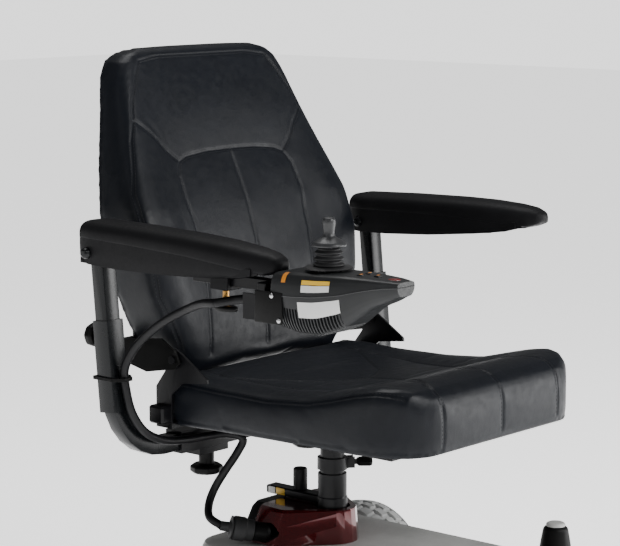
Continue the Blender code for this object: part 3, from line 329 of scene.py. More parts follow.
def box_solid(low, high, bevel=0.0, segments=3):
    solid = bmesh.new()
    bmesh.ops.create_cube(solid, size=1.0)
    low, high = Vector(low), Vector(high)
    for vertex in solid.verts:
        vertex.co = Vector([a + (c + 0.5) * (b - a) for a, b, c in zip(low, high, vertex.co)])
    if bevel:
        bmesh.ops.bevel(solid, geom=solid.edges[:], offset=bevel, segments=segments, profile=0.5,
                        affect="EDGES")
    return solid


def merged(*solids):
    whole = solids[0]
    for solid in solids[1:]:
        mesh = bpy.data.meshes.new("part")
        solid.to_mesh(mesh)
        solid.free()
        whole.from_mesh(mesh)
        bpy.data.meshes.remove(mesh)
    return whole


def tube(path, radius, sides):
    """A round tube along points, with a frame carried along so that it doesn't twist."""
    path = [Vector(point) for point in path]
    rings = []
    normal = across(path[1] - path[0])[0]
    for k, point in enumerate(path):
        along = (path[min(k + 1, len(path) - 1)] - path[max(k - 1, 0)]).normalized()
        normal = (normal - along * normal.dot(along)).normalized()
        other = along.cross(normal)
        rings.append([point + radius * (normal * math.cos(t) + other * math.sin(t))
                      for t in (2 * math.pi * i / sides for i in range(sides))])
    return loft(rings)


def smooth_through(points, spacing):
    """Points every `spacing` along a smooth curve through the given ones."""
    route = [Vector(point) for point in points]
    ends = [2 * route[0] - route[1]] + route + [2 * route[-1] - route[-2]]
    fine = []
    for before, start, end, after in zip(ends, ends[1:], ends[2:], ends[3:]):
        for step in range(16):
            t = step / 16
            fine.append(0.5 * (2 * start + (end - before) * t
                               + (2 * before - 5 * start + 4 * end - after) * t ** 2
                               + (3 * start - before - 3 * end + after) * t ** 3))
    fine.append(route[-1])
    lengths = np.cumsum([0.0] + [(b - a).length for a, b in zip(fine, fine[1:])])
    count = max(3, int(lengths[-1] / spacing) + 1)
    wanted = np.linspace(0, lengths[-1], count)
    columns = [np.interp(wanted, lengths, [point[axis] for point in fine]) for axis in range(3)]
    return [Vector(point) for point in zip(*columns)]


def refined(node, bevel, material, segments=3, angle=25):
    """A CAD node again, with its edges rounded as the real part's are, in place of the node."""
    solid = bmesh.new()
    solid.from_mesh(frame["nodes"][node].data)
    bmesh.ops.remove_doubles(solid, verts=solid.verts, dist=0.00001)
    bmesh.ops.dissolve_limit(solid, angle_limit=math.radians(1.0), verts=solid.verts, edges=solid.edges)
    body = frame["nodes"][node]["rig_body"]
    piece = add_piece(f"{node}_body", solid, material, body)
    rounding = piece.modifiers.new("rounding", "BEVEL")
    rounding.width = bevel
    rounding.segments = segments
    rounding.limit_method = "ANGLE"
    rounding.angle_limit = math.radians(angle)
    rounding.harden_normals = True
    bake(piece)
    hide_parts(node)
    return piece


def dress(material, *nodes):
    """Give CAD nodes whose shape is right a finished material."""
    for node in nodes:
        slots = frame["nodes"][node].material_slots
        for slot in slots:
            slot.material = MATERIALS[material]


# ---- stage --------------------------------------------------------------------------------------
SENSOR, LENS = 36.0, 129.1                # millimetres
EYE = (-2.5598, -2.1726, 1.1576)
EYE_DOWN, EYE_HEADING = 8.603, -49.086    # degrees
FLOOR_HALF = 14.0
SEEN_STRENGTH, FILL_STRENGTH = 1.75, 0.13  # the surroundings as seen, and as they light the chair


def camera():
    eye = bpy.data.cameras.new("camera")
    eye.sensor_width = SENSOR
    eye.lens = LENS
    piece = bpy.data.objects.new("camera", eye)
    piece.location = at(*EYE)
    piece.rotation_euler = (math.radians(90 - EYE_DOWN), 0, math.radians(EYE_HEADING))
    bpy.context.scene.collection.objects.link(piece)
    bpy.context.scene.camera = piece


def softbox(name, place, target, size, power):
    light = bpy.data.lights.new(name, "AREA")
    light.shape = "RECTANGLE"
    light.size, light.size_y = size
    light.energy = power
    piece = bpy.data.objects.new(name, light)
    piece.location = place
    piece.rotation_euler = (Vector(target) - Vector(place)).to_track_quat("-Z", "Y").to_euler()
    bpy.context.scene.collection.objects.link(piece)


def studio():
    """Pale floor, pale surroundings and large soft lights."""
    floor_solid = bmesh.new()
    bmesh.ops.create_grid(floor_solid, x_segments=2, y_segments=2, size=FLOOR_HALF)
    floor = bpy.data.objects.new("floor", mesh_from(floor_solid))
    paper = finish_of("paper", (0.93, 0.93, 0.93), 0.8, vary=0.01, patches=0.5,
                      Emission_Color=(1, 1, 1, 1), Emission_Strength=1.40, Specular_IOR_Level=0.1)
    floor.data.materials.append(paper)
    bpy.context.scene.collection.objects.link(floor)
    world = bpy.data.worlds.new("surroundings")
    world.use_nodes = True
    backdrop = world.node_tree.nodes["Background"]
    backdrop.inputs["Color"].default_value = (1.0, 1.0, 1.0, 1)
    seen = add_node(world.node_tree, "ShaderNodeLightPath").outputs["Is Camera Ray"]
    wanted = {"Value": seen, "To Min": FILL_STRENGTH, "To Max": SEEN_STRENGTH}
    strength = add_node(world.node_tree, "ShaderNodeMapRange", wanted).outputs["Result"]
    world.node_tree.links.new(strength, backdrop.inputs["Strength"])
    bpy.context.scene.world = world
    chair = (0, 0, 0.5)
    softbox("key_light", (0.4, -2.9, 2.4), chair, (1.8, 1.4), 84)
    softbox("front_light", (2.5, -2.1, 0.9), (0, 0, 0.6), (1.3, 1.7), 56)
    softbox("side_light", (-3.0, 0.2, 1.9), chair, (0.7, 1.4), 8)
    softbox("top_light", (0.3, 0.6, 2.9), chair, (1.6, 1.2), 34)


# ---- powered base -------------------------------------------------------------------------------
TYRE_R, TYRE_RIM_R = 0.1143, 0.0640
TREAD_HALF, TREAD_CROWN, TREAD_FROM_R = 0.0335, 0.0045, 0.1085
GAP_ALONG, GAP_ACROSS = 0.17, 0.10        # grooves, as shares of a tread block
NUT_CIRCLE_R, NUTS = 0.0385, 5


def tyre_wave(turn, radius, height):
    """Cut the tread into three staggered rows of blocks."""
    blocks, row_width, groove = 26, 0.022, 0.0045
    if radius < TREAD_FROM_R or abs(height) > 1.5 * row_width:
        return radius
    row = int((height + 1.5 * row_width) / row_width)
    across_row = (height + 1.5 * row_width) / row_width % 1.0
    along_row = (turn * blocks / (2 * math.pi) + 0.5 * (row % 2)) % 1.0
    if along_row < GAP_ALONG or across_row < GAP_ACROSS or across_row > 1 - GAP_ACROSS:
        return radius - groove
    return radius


def tyre_profile():
    side = [(0.0705, 0.0330), (0.0780, 0.0372), (0.0860, 0.0396), (0.0950, 0.0398), (0.1020, 0.0382),
            (0.1070, 0.0352)]
    band = []
    for step in range(31):
        height = TREAD_HALF * (1 - step / 15)
        band.append((TYRE_R - TREAD_CROWN * abs(height / TREAD_HALF) ** 2.2, height))
    inner = [(TYRE_RIM_R, -0.0255), (TYRE_RIM_R, 0.0255)]
    return inner[1:] + side + band + [(r, -h) for r, h in reversed(side)] + inner[:1]


def drive_wheels():
    """Grey block-tread tyres on painted rims with five nuts round a domed cap."""
    dish = rounded_profile([(0.0090, -0.0220), (0.0260, -0.0220), (0.0300, -0.0120), (0.0500, -0.0100),
                            (0.0560, -0.0262), (0.0637, -0.0262)], 0.004)
    face = rounded_profile([(0.0637, 0.0262), (0.0560, 0.0262), (0.0500, 0.0040), (0.0280, 0.0060),
                            (0.0240, 0.0215), (0.0090, 0.0215)], 0.004)
    cap = rounded_profile([(0.0225, 0.0216), (0.0225, 0.0255), (0.0150, 0.0290), (0.0010, 0.0300)], 0.003)
    for side, name in SIDES.items():
        body = f"wheel_{name}"
        centre = middle(f"drive_tyre_{name}")
        tyre = add_piece(f"drive_tyre_{name}_tread",
                         lathe(tyre_profile(), centre, (side, 0, 0), 312, True, tyre_wave),
                         "tyre", body, 40)
        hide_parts(f"drive_tyre_{name}")
        rim = add_piece(f"drive_rim_{name}_dish",
                        lathe(dish + face, centre, (side, 0, 0), 96, True), "rim", body, 40)
        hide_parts(f"drive_rim_{name}")
        add_piece(f"hub_cap_{name}", lathe(cap, centre, (side, 0, 0), 48), "black_plastic", body)
        nuts = []
        for k in range(NUTS):
            turn = 2 * math.pi * k / NUTS + 0.3
            place = centre + Vector((0, NUT_CIRCLE_R * math.cos(turn), NUT_CIRCLE_R * math.sin(turn)))
            nuts.append(lathe([(0.0052, 0.0040), (0.0052, 0.0080), (0.0030, 0.0098)], place, (side, 0, 0), 6))
        add_piece(f"wheel_nuts_{name}", merged(*nuts), "zinc", body)


def casters():
    """Front casters: a moulded tyre on a rim, a bent fork, and a housing with a pale cap."""
    tread = rounded_profile([(0.0565, 0.0135), (0.0640, 0.0205), (0.0715, 0.0185), (0.0757, 0.0105),
                             (0.0760, 0.0000)], 0.005)
    tread = [(0.0565, 0.0)] + tread
    tyre = tread[1:] + [(r, -h) for r, h in reversed(tread[1:-1])]
    hub = rounded_profile([(0.0068, 0.0200), (0.0150, 0.0198), (0.0180, 0.0110), (0.0440, 0.0090),
                           (0.0500, 0.0145), (0.0563, 0.0140)], 0.003)
    hub = hub + [(r, -h) for r, h in reversed(hub)]
    dome = rounded_profile([(0.0250, 0.2160), (0.0250, 0.2245), (0.0222, 0.2420), (0.0192, 0.2580),
                            (0.0150, 0.2618)], 0.004)
    cap = rounded_profile([(0.0149, 0.2606), (0.0149, 0.2650), (0.0120, 0.2672), (0.0005, 0.2674)], 0.0015)
    for name in SIDES.values():
        centre = middle(f"caster_wheel_{name}")
        body = f"caster_roller_{name}"
        rubber = add_piece(f"caster_tyre_{name}", lathe(tyre, centre, (1, 0, 0), 96, True),
                           "tyre", body)
        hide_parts(f"caster_wheel_{name}")
        add_piece(f"caster_rim_{name}", lathe(hub, centre, (1, 0, 0), 72, True), "rim", body, 40)
        refined(f"caster_fork_{name}", 0.0018, "black_steel")
        stem = middle(f"caster_housing_{name}")
        foot = Vector((stem.x, stem.y, 0))
        housing = add_piece(f"caster_housing_{name}_dome", lathe(dome, foot, (0, 0, 1), 64),
                            "black_plastic", "base")
        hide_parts(f"caster_housing_{name}")
        add_piece(f"caster_cap_{name}", lathe(cap, foot, (0, 0, 1), 48), "silver_plastic", "base")


def chassis():
    """Frame, batteries, motors and covers, with the edges that welded and moulded parts have."""
    refined("base_frame", 0.0012, "black_steel")
    refined("footrest_stem", 0.0010, "black_steel")
    refined("footplate", 0.0020, "black_plastic")
    refined("power_module", 0.0012, "cast")
    refined("cable_socket", 0.0012, "black_plastic")
    refined("deck_cover", 0.0030, "silver_plastic", 4)
    refined("shroud", 0.0045, "burgundy", 5, 15)
    refined("rear_cover", 0.0022, "black_plastic")
    for name in SIDES.values():
        refined(f"battery_{name}", 0.0014, "case")
        refined(f"gear_motor_{name}", 0.0020, "cast")
        refined(f"freewheel_lever_{name}", 0.0010, "orange")
        refined(f"anti_tip_wheel_{name}", 0.0012, "rubber")


def post():
    """The telescopic post with its lug, plunger, collar and lever."""
    refined("post_socket", 0.0014, "black_steel")
    refined("seat_post", 0.0010, "black_steel")
    refined("swivel_lever", 0.0010, "black_plastic")
    refined("height_pin", 0.0012, "black_plastic")
    for name, span, material in (("lug_patch_white", (0.1080, 0.1220), "label_white"),
                                 ("lug_patch_yellow", (0.0880, 0.1060), "label_yellow")):
        patch = box_solid(at(-0.0127, span[0], 0.2882), at(-0.0119, span[1], 0.2988), 0.0003, 2)
        add_piece(name, patch, material, "base")


SHELL_WRAP_FROM, SHELL_TOP_FROM, SHELL_TOP = 0.560, 0.900, 0.988
SHELL_INSET, SHELL_DROP = 0.930, 0.016


def seat_hardware():
    refined("seat_frame", 0.0010, "black_steel")
    panel = refined("back_shell", 0.0040, "black_plastic", 4)
    for vertex in panel.data.vertices:     # the cover wraps round the shell's edge
        height = (panel.matrix_world @ vertex.co).z
        if height > SHELL_WRAP_FROM:
            vertex.co.x *= SHELL_INSET
            vertex.co.z -= SHELL_DROP * max(0.0, height - SHELL_TOP_FROM) / (SHELL_TOP - SHELL_TOP_FROM)
    for name in SIDES.values():
        refined(f"arm_hanger_{name}", 0.0016, "sleeve_steel")
        refined(f"arm_upright_{name}", 0.0010, "sleeve_steel")
        refined(f"armrest_frame_{name}", 0.0040, "arm_pad", 4)
        refined(f"height_knob_{name}", 0.0016, "black_plastic")
        refined(f"width_knob_{name}", 0.0018, "black_plastic")


# ---- upholstery ---------------------------------------------------------------------------------
VOXEL = 0.0050
PULLED_IN, PUFF_LIMIT = 0.004, 0.012      # a cover starts this far in, and is blown out this far at most
HELD_REACH = 0.0020                       # beyond that start, how near a seam the cover is held
GROOVE_DEPTH, GROOVE_WIDTH = 0.0018, 0.0028
PRESSURE, CLOTH_FRAMES = 4.0, 20
THREAD_PITCH, THREAD_LENGTH, THREAD_R = 0.0046, 0.0031, 0.00035
ROW_APART = 0.0032                        # each stitch row stands this far beside its seam


def from_table(table, key):
    """A row of a table, its columns interpolated at a key in the first column."""
    keys = [row[0] for row in table]
    return [float(np.interp(key, keys, column)) for column in list(zip(*table))[1:]]


def arc(centre, radius, start, end, steps=6):
    return [(centre[0] + radius * math.cos(math.radians(a)), centre[1] + radius * math.sin(math.radians(a)))
            for a in np.linspace(start, end, steps)]


def symmetric(half):
    """A whole ring from the half of it that runs from the middle line to the middle line."""
    return half + [(-x, v) for x, v in reversed(half[1:-1])]


def cast_on(surface, rays):
    """Where rays meet a surface: a list of places and normals."""
    met = []
    for start, direction in rays:
        place, normal, _, _ = surface.ray_cast(start, Vector(direction).normalized())
        if place:
            met.append((place, normal))
    return met


def surface_of(piece):
    mesh = piece.data
    return BVHTree.FromPolygons([v.co for v in mesh.vertices], [p.vertices for p in mesh.polygons])


def seam_reach(piece, paths):
    """How far each vertex is from the nearest seam."""
    places = [place for path in paths for place, _ in path]
    tree = KDTree(len(places))
    for number, place in enumerate(places):
        tree.insert(place, number)
    tree.balance()
    return [tree.find(vertex.co)[2] for vertex in piece.data.vertices]


def fill(piece, held):
    """Blow the cover up against its seams, as stuffing does, and keep each point within the limit."""
    group = piece.vertex_groups.new(name="held")
    group.add(held, 1.0, "REPLACE")
    rest = [vertex.co.copy() for vertex in piece.data.vertices]
    filling = piece.modifiers.new("filling", "CLOTH")
    filling.settings.use_pressure = True
    filling.settings.uniform_pressure_force = PRESSURE
    filling.settings.vertex_group_mass = "held"
    filling.settings.effector_weights.gravity = 0.0
    filling.point_cache.frame_end = CLOTH_FRAMES
    for frame_number in range(1, CLOTH_FRAMES + 1):
        bpy.context.scene.frame_set(frame_number)
    bake(piece)
    bpy.context.scene.frame_set(1)
    for vertex, start in zip(piece.data.vertices, rest):
        move = vertex.co - start
        if move.length > PUFF_LIMIT:
            vertex.co = start + move * (PUFF_LIMIT / move.length)


def thread(name, rows, body):
    """Short stitches lying on the cover, along rows of places and normals."""
    places, faces = [], []
    for row in rows:
        travelled = 0.0
        for (a, normal), (b, _) in zip(row, row[1:]):
            travelled += (b - a).length
            if travelled < THREAD_PITCH or (b - a).length < 0.0001:
                continue
            travelled = 0.0
            along = (b - a).normalized()
            beside = along.cross(normal).normalized() * THREAD_R
            lift = normal * THREAD_R
            first = len(places)
            for end, size in ((-0.5, 0.3), (-0.3, 1.0), (0.3, 1.0), (0.5, 0.3)):
                centre = a + along * (THREAD_LENGTH * end) + lift * 0.4
                places += [centre + beside * size, centre + lift * size, centre - beside * size,
                           centre - lift * size]
            for ring in range(3):
                for k in range(4):
                    low, next_k = first + 4 * ring, (k + 1) % 4
                    faces.append((low + k, low + next_k, low + 4 + next_k, low + 4 + k))
            faces.append((first + 3, first + 2, first + 1, first))
            faces.append(tuple(first + 12 + k for k in range(4)))
    mesh = bpy.data.meshes.new(name)
    mesh.from_pydata(places, [], faces)
    add_piece(name, mesh, "thread", body, None)


def stitch_rows(surface, paths):
    """Rows of stitches on both sides of each seam, laid on the finished cover."""
    rows = []
    for path in paths:
        for side in (-1, 1):
            rays = []
            for (a, normal), (b, _) in zip(path, path[1:]):
                if (b - a).length > 0.00001:
                    beside = (b - a).cross(normal).normalized() * ROW_APART * side
                    rays.append((a + beside + normal * 0.012, -normal))
            rows.append(cast_on(surface, rays))
    return rows


def upholstered(name, solid, node, resting, rays):
    """A stuffed cover: remeshed, blown up between its seams, then creased and stitched along them.

    resting tells from a normal whether the cover lies against something hard there.
    """
    body = frame["nodes"][node]["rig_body"]
    piece = add_piece(name, solid, "vinyl", None, None)
    remesh = piece.modifiers.new("even", "REMESH")
    remesh.mode = "VOXEL"
    remesh.voxel_size = VOXEL
    bake(piece)
    paths = [cast_on(surface_of(piece), path) for path in rays]
    reach = seam_reach(piece, paths)
    flat = [resting(vertex.normal) for vertex in piece.data.vertices]
    normals = [vertex.normal.copy() for vertex in piece.data.vertices]
    for vertex, normal, rests in zip(piece.data.vertices, normals, flat):
        if not rests:
            vertex.co -= normal * PULLED_IN
    held = [k for k, distance in enumerate(reach) if flat[k] or distance < PULLED_IN + HELD_REACH]
    fill(piece, held)
    smoother = piece.modifiers.new("smooth", "SUBSURF")
    smoother.levels = smoother.render_levels = 1
    bake(piece)
    piece.vertex_groups.clear()
    paths = [cast_on(surface_of(piece), path) for path in rays]
    normals = [vertex.normal.copy() for vertex in piece.data.vertices]
    for vertex, normal, distance in zip(piece.data.vertices, normals, seam_reach(piece, paths)):
        vertex.co -= normal * GROOVE_DEPTH * math.exp(-(distance / GROOVE_WIDTH) ** 2)
    piece.data.shade_smooth()
    piece.data.materials.clear()
    piece.data.materials.append(MATERIALS["vinyl"])
    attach(piece, body)
    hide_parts(node)
    thread(f"{name}_thread", stitch_rows(surface_of(piece), paths), body)


def dense(points, spacing=0.0015):
    """Points along straight runs between the given ones."""
    made = []
    for a, b in zip(points, points[1:]):
        count = max(2, int((Vector(b) - Vector(a)).length / spacing))
        made += [Vector(a).lerp(Vector(b), k / count) for k in range(count)]
    return made + [Vector(points[-1])]


SEAT_PROFILE = [  # y, half width, underside, height at the sides, height in the middle
    (-0.3270, 0.144, 0.4520, 0.4980, 0.4980), (-0.3240, 0.158, 0.4430, 0.5110, 0.5110),
    (-0.3170, 0.176, 0.4390, 0.5240, 0.5240), (-0.3030, 0.196, 0.4380, 0.5345, 0.5345),
    (-0.2840, 0.2120, 0.4380, 0.5400, 0.5400), (-0.2600, 0.2235, 0.4380, 0.5410, 0.5400),
    (-0.2300, 0.2290, 0.4380, 0.5360, 0.5340), (-0.1900, 0.2305, 0.4380, 0.5250, 0.5190),
    (-0.1400, 0.2310, 0.4375, 0.5130, 0.5060), (-0.0600, 0.2310, 0.4365, 0.5060, 0.4990),
    (0.0400, 0.2275, 0.4330, 0.5060, 0.5000), (0.1060, 0.2270, 0.4300, 0.5080, 0.5040),
    (0.1480, 0.2260, 0.4310, 0.5060, 0.5040), (0.1570, 0.2180, 0.4360, 0.4980, 0.4980)]
ROLL_Y, ROLL_Z = -0.2830, 0.4970          # middle of the seat's rolled front


def seat_ring(y):
    wide, low, high, centre = from_table(SEAT_PROFILE, y)
    foot = min(0.014, 0.3 * (high - low))
    shoulder = min(0.026, 0.5 * (high - low))
    inner = wide - shoulder
    half = [(u * (wide - foot), low) for u in np.linspace(0, 1, 12)[:-1]]
    half += arc((wide - foot, low + foot), foot, -90, 0)
    half += arc((inner, high - shoulder), shoulder, 0, 90, 9)
    half += [(u * inner, centre + (high - centre) * u ** 3) for u in np.linspace(1, 0, 18)[1:]]
    return [at(x, y, z) for x, z in symmetric(half)]


def rays_down(points):
    return [(at(p.x, p.y, 0.70), (0, 0, -1)) for p in dense(points)]


def rays_over_front(x):
    """Up the front face and over the roll."""
    rays = [(at(x, -0.60, z), (0, 1, 0)) for z in np.arange(0.452, ROLL_Z, 0.0015)]
    for turn in np.arange(0, 84, 1.5):
        out = Vector((0, -math.cos(math.radians(turn)), math.sin(math.radians(turn))))
        rays.append((at(x, ROLL_Y, ROLL_Z) + out * 0.2, -out))
    return rays


def seat_welt():
    """The seam between the top and the side walls, along both sides."""
    rays = []
    middle_line = at(0, 0, 0).y
    for side in (RIGHT, LEFT):
        for y in np.arange(-0.2950, 0.1400, 0.0015):
            wide, _, high, _ = from_table(SEAT_PROFILE, y)
            out = Vector((side * 0.94, 0, 0.34))
            rays.append((Vector((side * (wide - 0.008), y + middle_line, high - 0.012)) + out * 0.15, -out))
    return [rays[:len(rays) // 2], rays[len(rays) // 2:]]


def seat_upholstery():
    stations = np.concatenate([np.arange(-0.3270, -0.2500, 0.0035), np.arange(-0.2500, 0.1400, 0.0150),
                               np.arange(0.1440, 0.1571, 0.0040)])
    rays = seat_welt()
    for side in (RIGHT, LEFT):
        rays.append(rays_over_front(side * 0.139))
        rays.append(rays_down([(side * 0.138, -0.292), (side * 0.1170, -0.256), (side * 0.1200, -0.140),
                               (side * 0.1455, -0.021), (side * 0.1500, 0.100)]))
        rays.append(rays_down([(0, -0.070), (side * 0.061, -0.042), (side * 0.153, 0.077)]))
    rays.append(rays_over_front(0.0))
    rays.append(rays_down([(0, -0.292), (0, -0.070)]))
    upholstered("seat_upholstery", loft([seat_ring(y) for y in stations]), "seat_cushion",
                lambda normal: normal.z < -0.6, rays)


BACK_PROFILE = [  # height, front y, rear y, half width, how far the bolsters stand forward
    (0.4940, 0.1350, 0.1700, 0.172, 0.000), (0.5200, 0.1285, 0.2107, 0.193, 0.001),
    (0.5450, 0.1285, 0.2207, 0.208, 0.004), (0.5800, 0.1330, 0.2290, 0.223, 0.008),
    (0.6240, 0.1400, 0.2360, 0.238, 0.011), (0.6900, 0.1520, 0.2490, 0.249, 0.013),
    (0.7500, 0.1720, 0.2610, 0.247, 0.012), (0.8150, 0.2030, 0.2780, 0.231, 0.008),
    (0.8850, 0.2330, 0.2950, 0.211, 0.003), (0.9450, 0.2560, 0.3120, 0.194, 0.000),
    (0.9700, 0.2660, 0.3150, 0.180, 0.000), (0.9840, 0.2750, 0.3090, 0.160, 0.000),
    (0.9910, 0.2850, 0.3000, 0.128, 0.000)]


def back_ring(z):
    front, rear, wide, bolster = from_table(BACK_PROFILE, z)
    depth = rear - front
    edge, heel = min(0.030, depth * 0.45), min(0.010, depth * 0.3)

    def face(x):
        return front - bolster * math.exp(-((x / wide - 0.80) / 0.16) ** 2)

    half = [(u * (wide - edge), face(u * (wide - edge))) for u in np.linspace(0, 1, 22)]
    start = half[-1][1]
    half += [(wide - edge + edge * math.sin(a), start + edge * (1 - math.cos(a)))
             for a in np.linspace(0, math.pi / 2, 7)[1:]]
    half += arc((wide - heel, rear - heel), heel, 0, 90, 5)
    half += [(u * (wide - heel), rear) for u in np.linspace(1, 0, 10)[1:]]
    return [at(x, y, z) for x, y in symmetric(half)]


def rays_back(points):
    return [(at(p.x, -0.20, p.y), (0, 1, 0)) for p in dense(points)]


def back_upholstery():
    stations = np.concatenate([np.arange(0.4940, 0.5450, 0.0065), np.arange(0.5500, 0.9450, 0.0120),
                               np.arange(0.9500, 0.9911, 0.0041)])
    welt = [(0.100, 0.9745), (0.143, 0.969), (0.158, 0.948), (0.182, 0.9095), (0.192, 0.881), (0.206, 0.852),
            (0.220, 0.811), (0.2330, 0.775), (0.2370, 0.7465), (0.2370, 0.700), (0.2290, 0.624),
            (0.2010, 0.5605), (0.190, 0.538)]
    shoulder = [(0.119, 0.816), (0.141, 0.834), (0.160, 0.857), (0.191, 0.883)]
    panel_side = [(0.119, 0.816), (0.130, 0.797), (0.133, 0.760), (0.127, 0.724),
                  (0.124, 0.630), (0.131, 0.528)]
    panel_top = [(0, 0.828), (0.057, 0.827), (0.100, 0.8225), (0.119, 0.816)]
    rays = [rays_back([(-0.100, 0.9745), (0.100, 0.9745)])]
    for side in (RIGHT, LEFT):
        for seam in (welt, shoulder, panel_side, panel_top):
            rays.append(rays_back([(side * x, z) for x, z in seam]))
    rays.append(rays_back([(0.0, 0.828), (0.0, 0.528)]))
    upholstered("back_upholstery", loft([back_ring(z) for z in stations]), "back_cushion",
                lambda normal: normal.y > 0.6, rays)


# ---- armrests -----------------------------------------------------------------------------------
ARM_X = 0.309
PIVOT = {RIGHT: (0.1830, 0.700, 2.0), LEFT: (0.1818, 0.687, -1.2)}   # y, z, degrees of tilt
PAD_SECTIONS = [  # y from the pivot, half width, underside, top
    (0.0262, 0.0140, 0.0260, 0.0350), (0.0245, 0.0225, 0.0210, 0.0405), (0.0180, 0.0295, 0.0185, 0.0450),
    (0.0000, 0.0322, 0.0180, 0.0480), (-0.1000, 0.0330, 0.0180, 0.0500), (-0.2000, 0.0325, 0.0165, 0.0500),
    (-0.2600, 0.0312, 0.0130, 0.0485), (-0.3100, 0.0280, 0.0095, 0.0450), (-0.3380, 0.0235, 0.0100, 0.0410),
    (-0.3530, 0.0165, 0.0150, 0.0355), (-0.3590, 0.0080, 0.0210, 0.0300)]


def superellipse(half, low, high, sides=56):
    """A crowned section: nearly flat below and rounded above."""
    waist = low + 0.34 * (high - low)
    ring = []
    for k in range(sides):
        turn = 2 * math.pi * k / sides
        c, s = math.cos(turn), math.sin(turn)
        above = s >= 0
        x = half * math.copysign(abs(c) ** (0.72 if above else 0.40), c)
        z = waist + (high - waist) * s ** 0.80 if above else waist - (waist - low) * abs(s) ** 0.40
        ring.append((x, z))
    return ring


SKIRT_BOTTOM = [  # y from the pivot, lower edge: it drops in a curve behind and rises to the front
    (-0.3300, 0.0095), (-0.3000, 0.0020), (-0.2400, -0.0050), (-0.1500, -0.0125), (-0.0600, -0.0165),
    (0.0000, -0.0165), (0.0120, -0.0120), (0.0200, -0.0020), (0.0245, 0.0120)]


def skirt_ring(y, face):
    """The moulded side that hangs from the pad over the housing, rounded along its lower edge."""
    half, low, _ = from_table(sorted(PAD_SECTIONS), y)
    foot = from_table(SKIRT_BOTTOM, y)[0]
    head = low + 0.0040
    outer, inner = max(half - 0.0006, 0.0190), 0.0284
    inner = min(inner, outer - 0.0012)
    drop = head - foot
    points = [(inner, head), (outer, head), (outer, foot + 0.62 * drop),
              (outer - 0.0006, foot + 0.30 * drop), (outer - 0.0016, foot + 0.08 * drop),
              (0.5 * (outer + inner), foot), (inner, foot + 0.02 * drop)]
    return [Vector((face * x, y, z)) for x, z in points]


def arm_pads():
    """Self-skinned foam pads, crowned, tapering to a blunt tip and dropping over the housing in front."""
    rows = sorted(PAD_SECTIONS)
    stations = np.concatenate([np.linspace(-0.3590, -0.3380, 9), np.linspace(-0.3300, 0.0100, 36),
                               np.linspace(0.0140, 0.0262, 7)])
    for side, name in SIDES.items():
        y, z, tilt = PIVOT[side]
        solid = loft([[Vector((x, station, up)) for x, up in superellipse(*from_table(rows, station))]
                      for station in stations])
        move = Matrix.Translation(at(side * ARM_X, y, z)) @ Matrix.Rotation(math.radians(tilt), 4, "X")
        bmesh.ops.transform(solid, matrix=move, verts=solid.verts)
        pad = add_piece(f"arm_pad_{name}", solid, "arm_pad", f"armrest_{name}", 60)
        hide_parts(f"armrest_pad_{name}")
        for face in (-1, 1):
            skirt = loft([skirt_ring(station, face) for station in np.linspace(-0.3300, 0.0245, 60)])
            bmesh.ops.transform(skirt, matrix=move, verts=skirt.verts)
            outer = "outer" if face == side else "inner"
            add_piece(f"arm_skirt_{name}_{outer}", skirt, "arm_pad", f"armrest_{name}", 50)


# ---- controller ---------------------------------------------------------------------------------
CTRL_X, STICK_Y, GIMBAL_Z = -0.305, -0.252, 0.7085
BUTTONS = ("power_button", "horn_button", "speed_rocker")
HULL_REAR, HULL_TIP = -0.166, -0.385
HULL = sorted([  # y, half width, deck, split line, keel
    (-0.1660, 0.0340, 0.7020, 0.6780, 0.6400), (-0.1815, 0.0405, 0.7080, 0.6780, 0.6330),
    (-0.2200, 0.0440, 0.7120, 0.6790, 0.6260), (-0.2600, 0.0430, 0.7130, 0.6820, 0.6270),
    (-0.3000, 0.0390, 0.7140, 0.6880, 0.6420), (-0.3400, 0.0310, 0.7130, 0.6980, 0.6720),
    (-0.3700, 0.0245, 0.7120, 0.7030, 0.6840), (-0.3850, 0.0170, 0.7105, 0.7040, 0.6930)])
UPPER_CURVE = [(1.0, 0), (0.985, 0.25), (0.965, 0.48), (0.93, 0.68), (0.86, 0.86), (0.74, 0.97), (0.58, 1.0),
               (0.30, 1.0), (0.0, 1.0)]
LOWER_CURVE = [(1.0, 0), (0.985, 0.15), (0.955, 0.32), (0.90, 0.54), (0.80, 0.75), (0.66, 0.92), (0.50, 1.0),
               (0.25, 1.0), (0.0, 1.0)]
SPLIT = 0.0007
FINS_FROM, FINS_TO, FIN_PITCH, FIN_DEPTH = -0.3050, -0.1740, 0.0052, 0.0045
FIN_STARTS = 0.34                         # fins begin this far down the lower shell


def hull_cross(y):
    """The hull's sizes at y, eased between its sections."""
    steps = (-0.008, -0.004, 0, 0.004, 0.008)
    near = [from_table(HULL, min(HULL_REAR, max(HULL_TIP, y + step))) for step in steps]
    return [sum(column) / len(near) for column in zip(*near)]


def curve_at(curve, share):
    """A point on a half outline, share from 0 at the split line to 1 at the middle."""
    steps = np.linspace(0, 1, len(curve))
    return [float(np.interp(share, steps, column)) for column in zip(*curve)]


def hull_place(y, side, share, upper, inward=0.0):
    wide, deck, split, keel = hull_cross(y)
    across_share, rise = curve_at(UPPER_CURVE if upper else LOWER_CURVE, share)
    half = (wide - inward) * across_share
    if upper:
        return at(CTRL_X + side * half, y, split + SPLIT + (deck - split - SPLIT) * rise)
    return at(CTRL_X + side * half, y, split - (split - keel - inward) * rise)


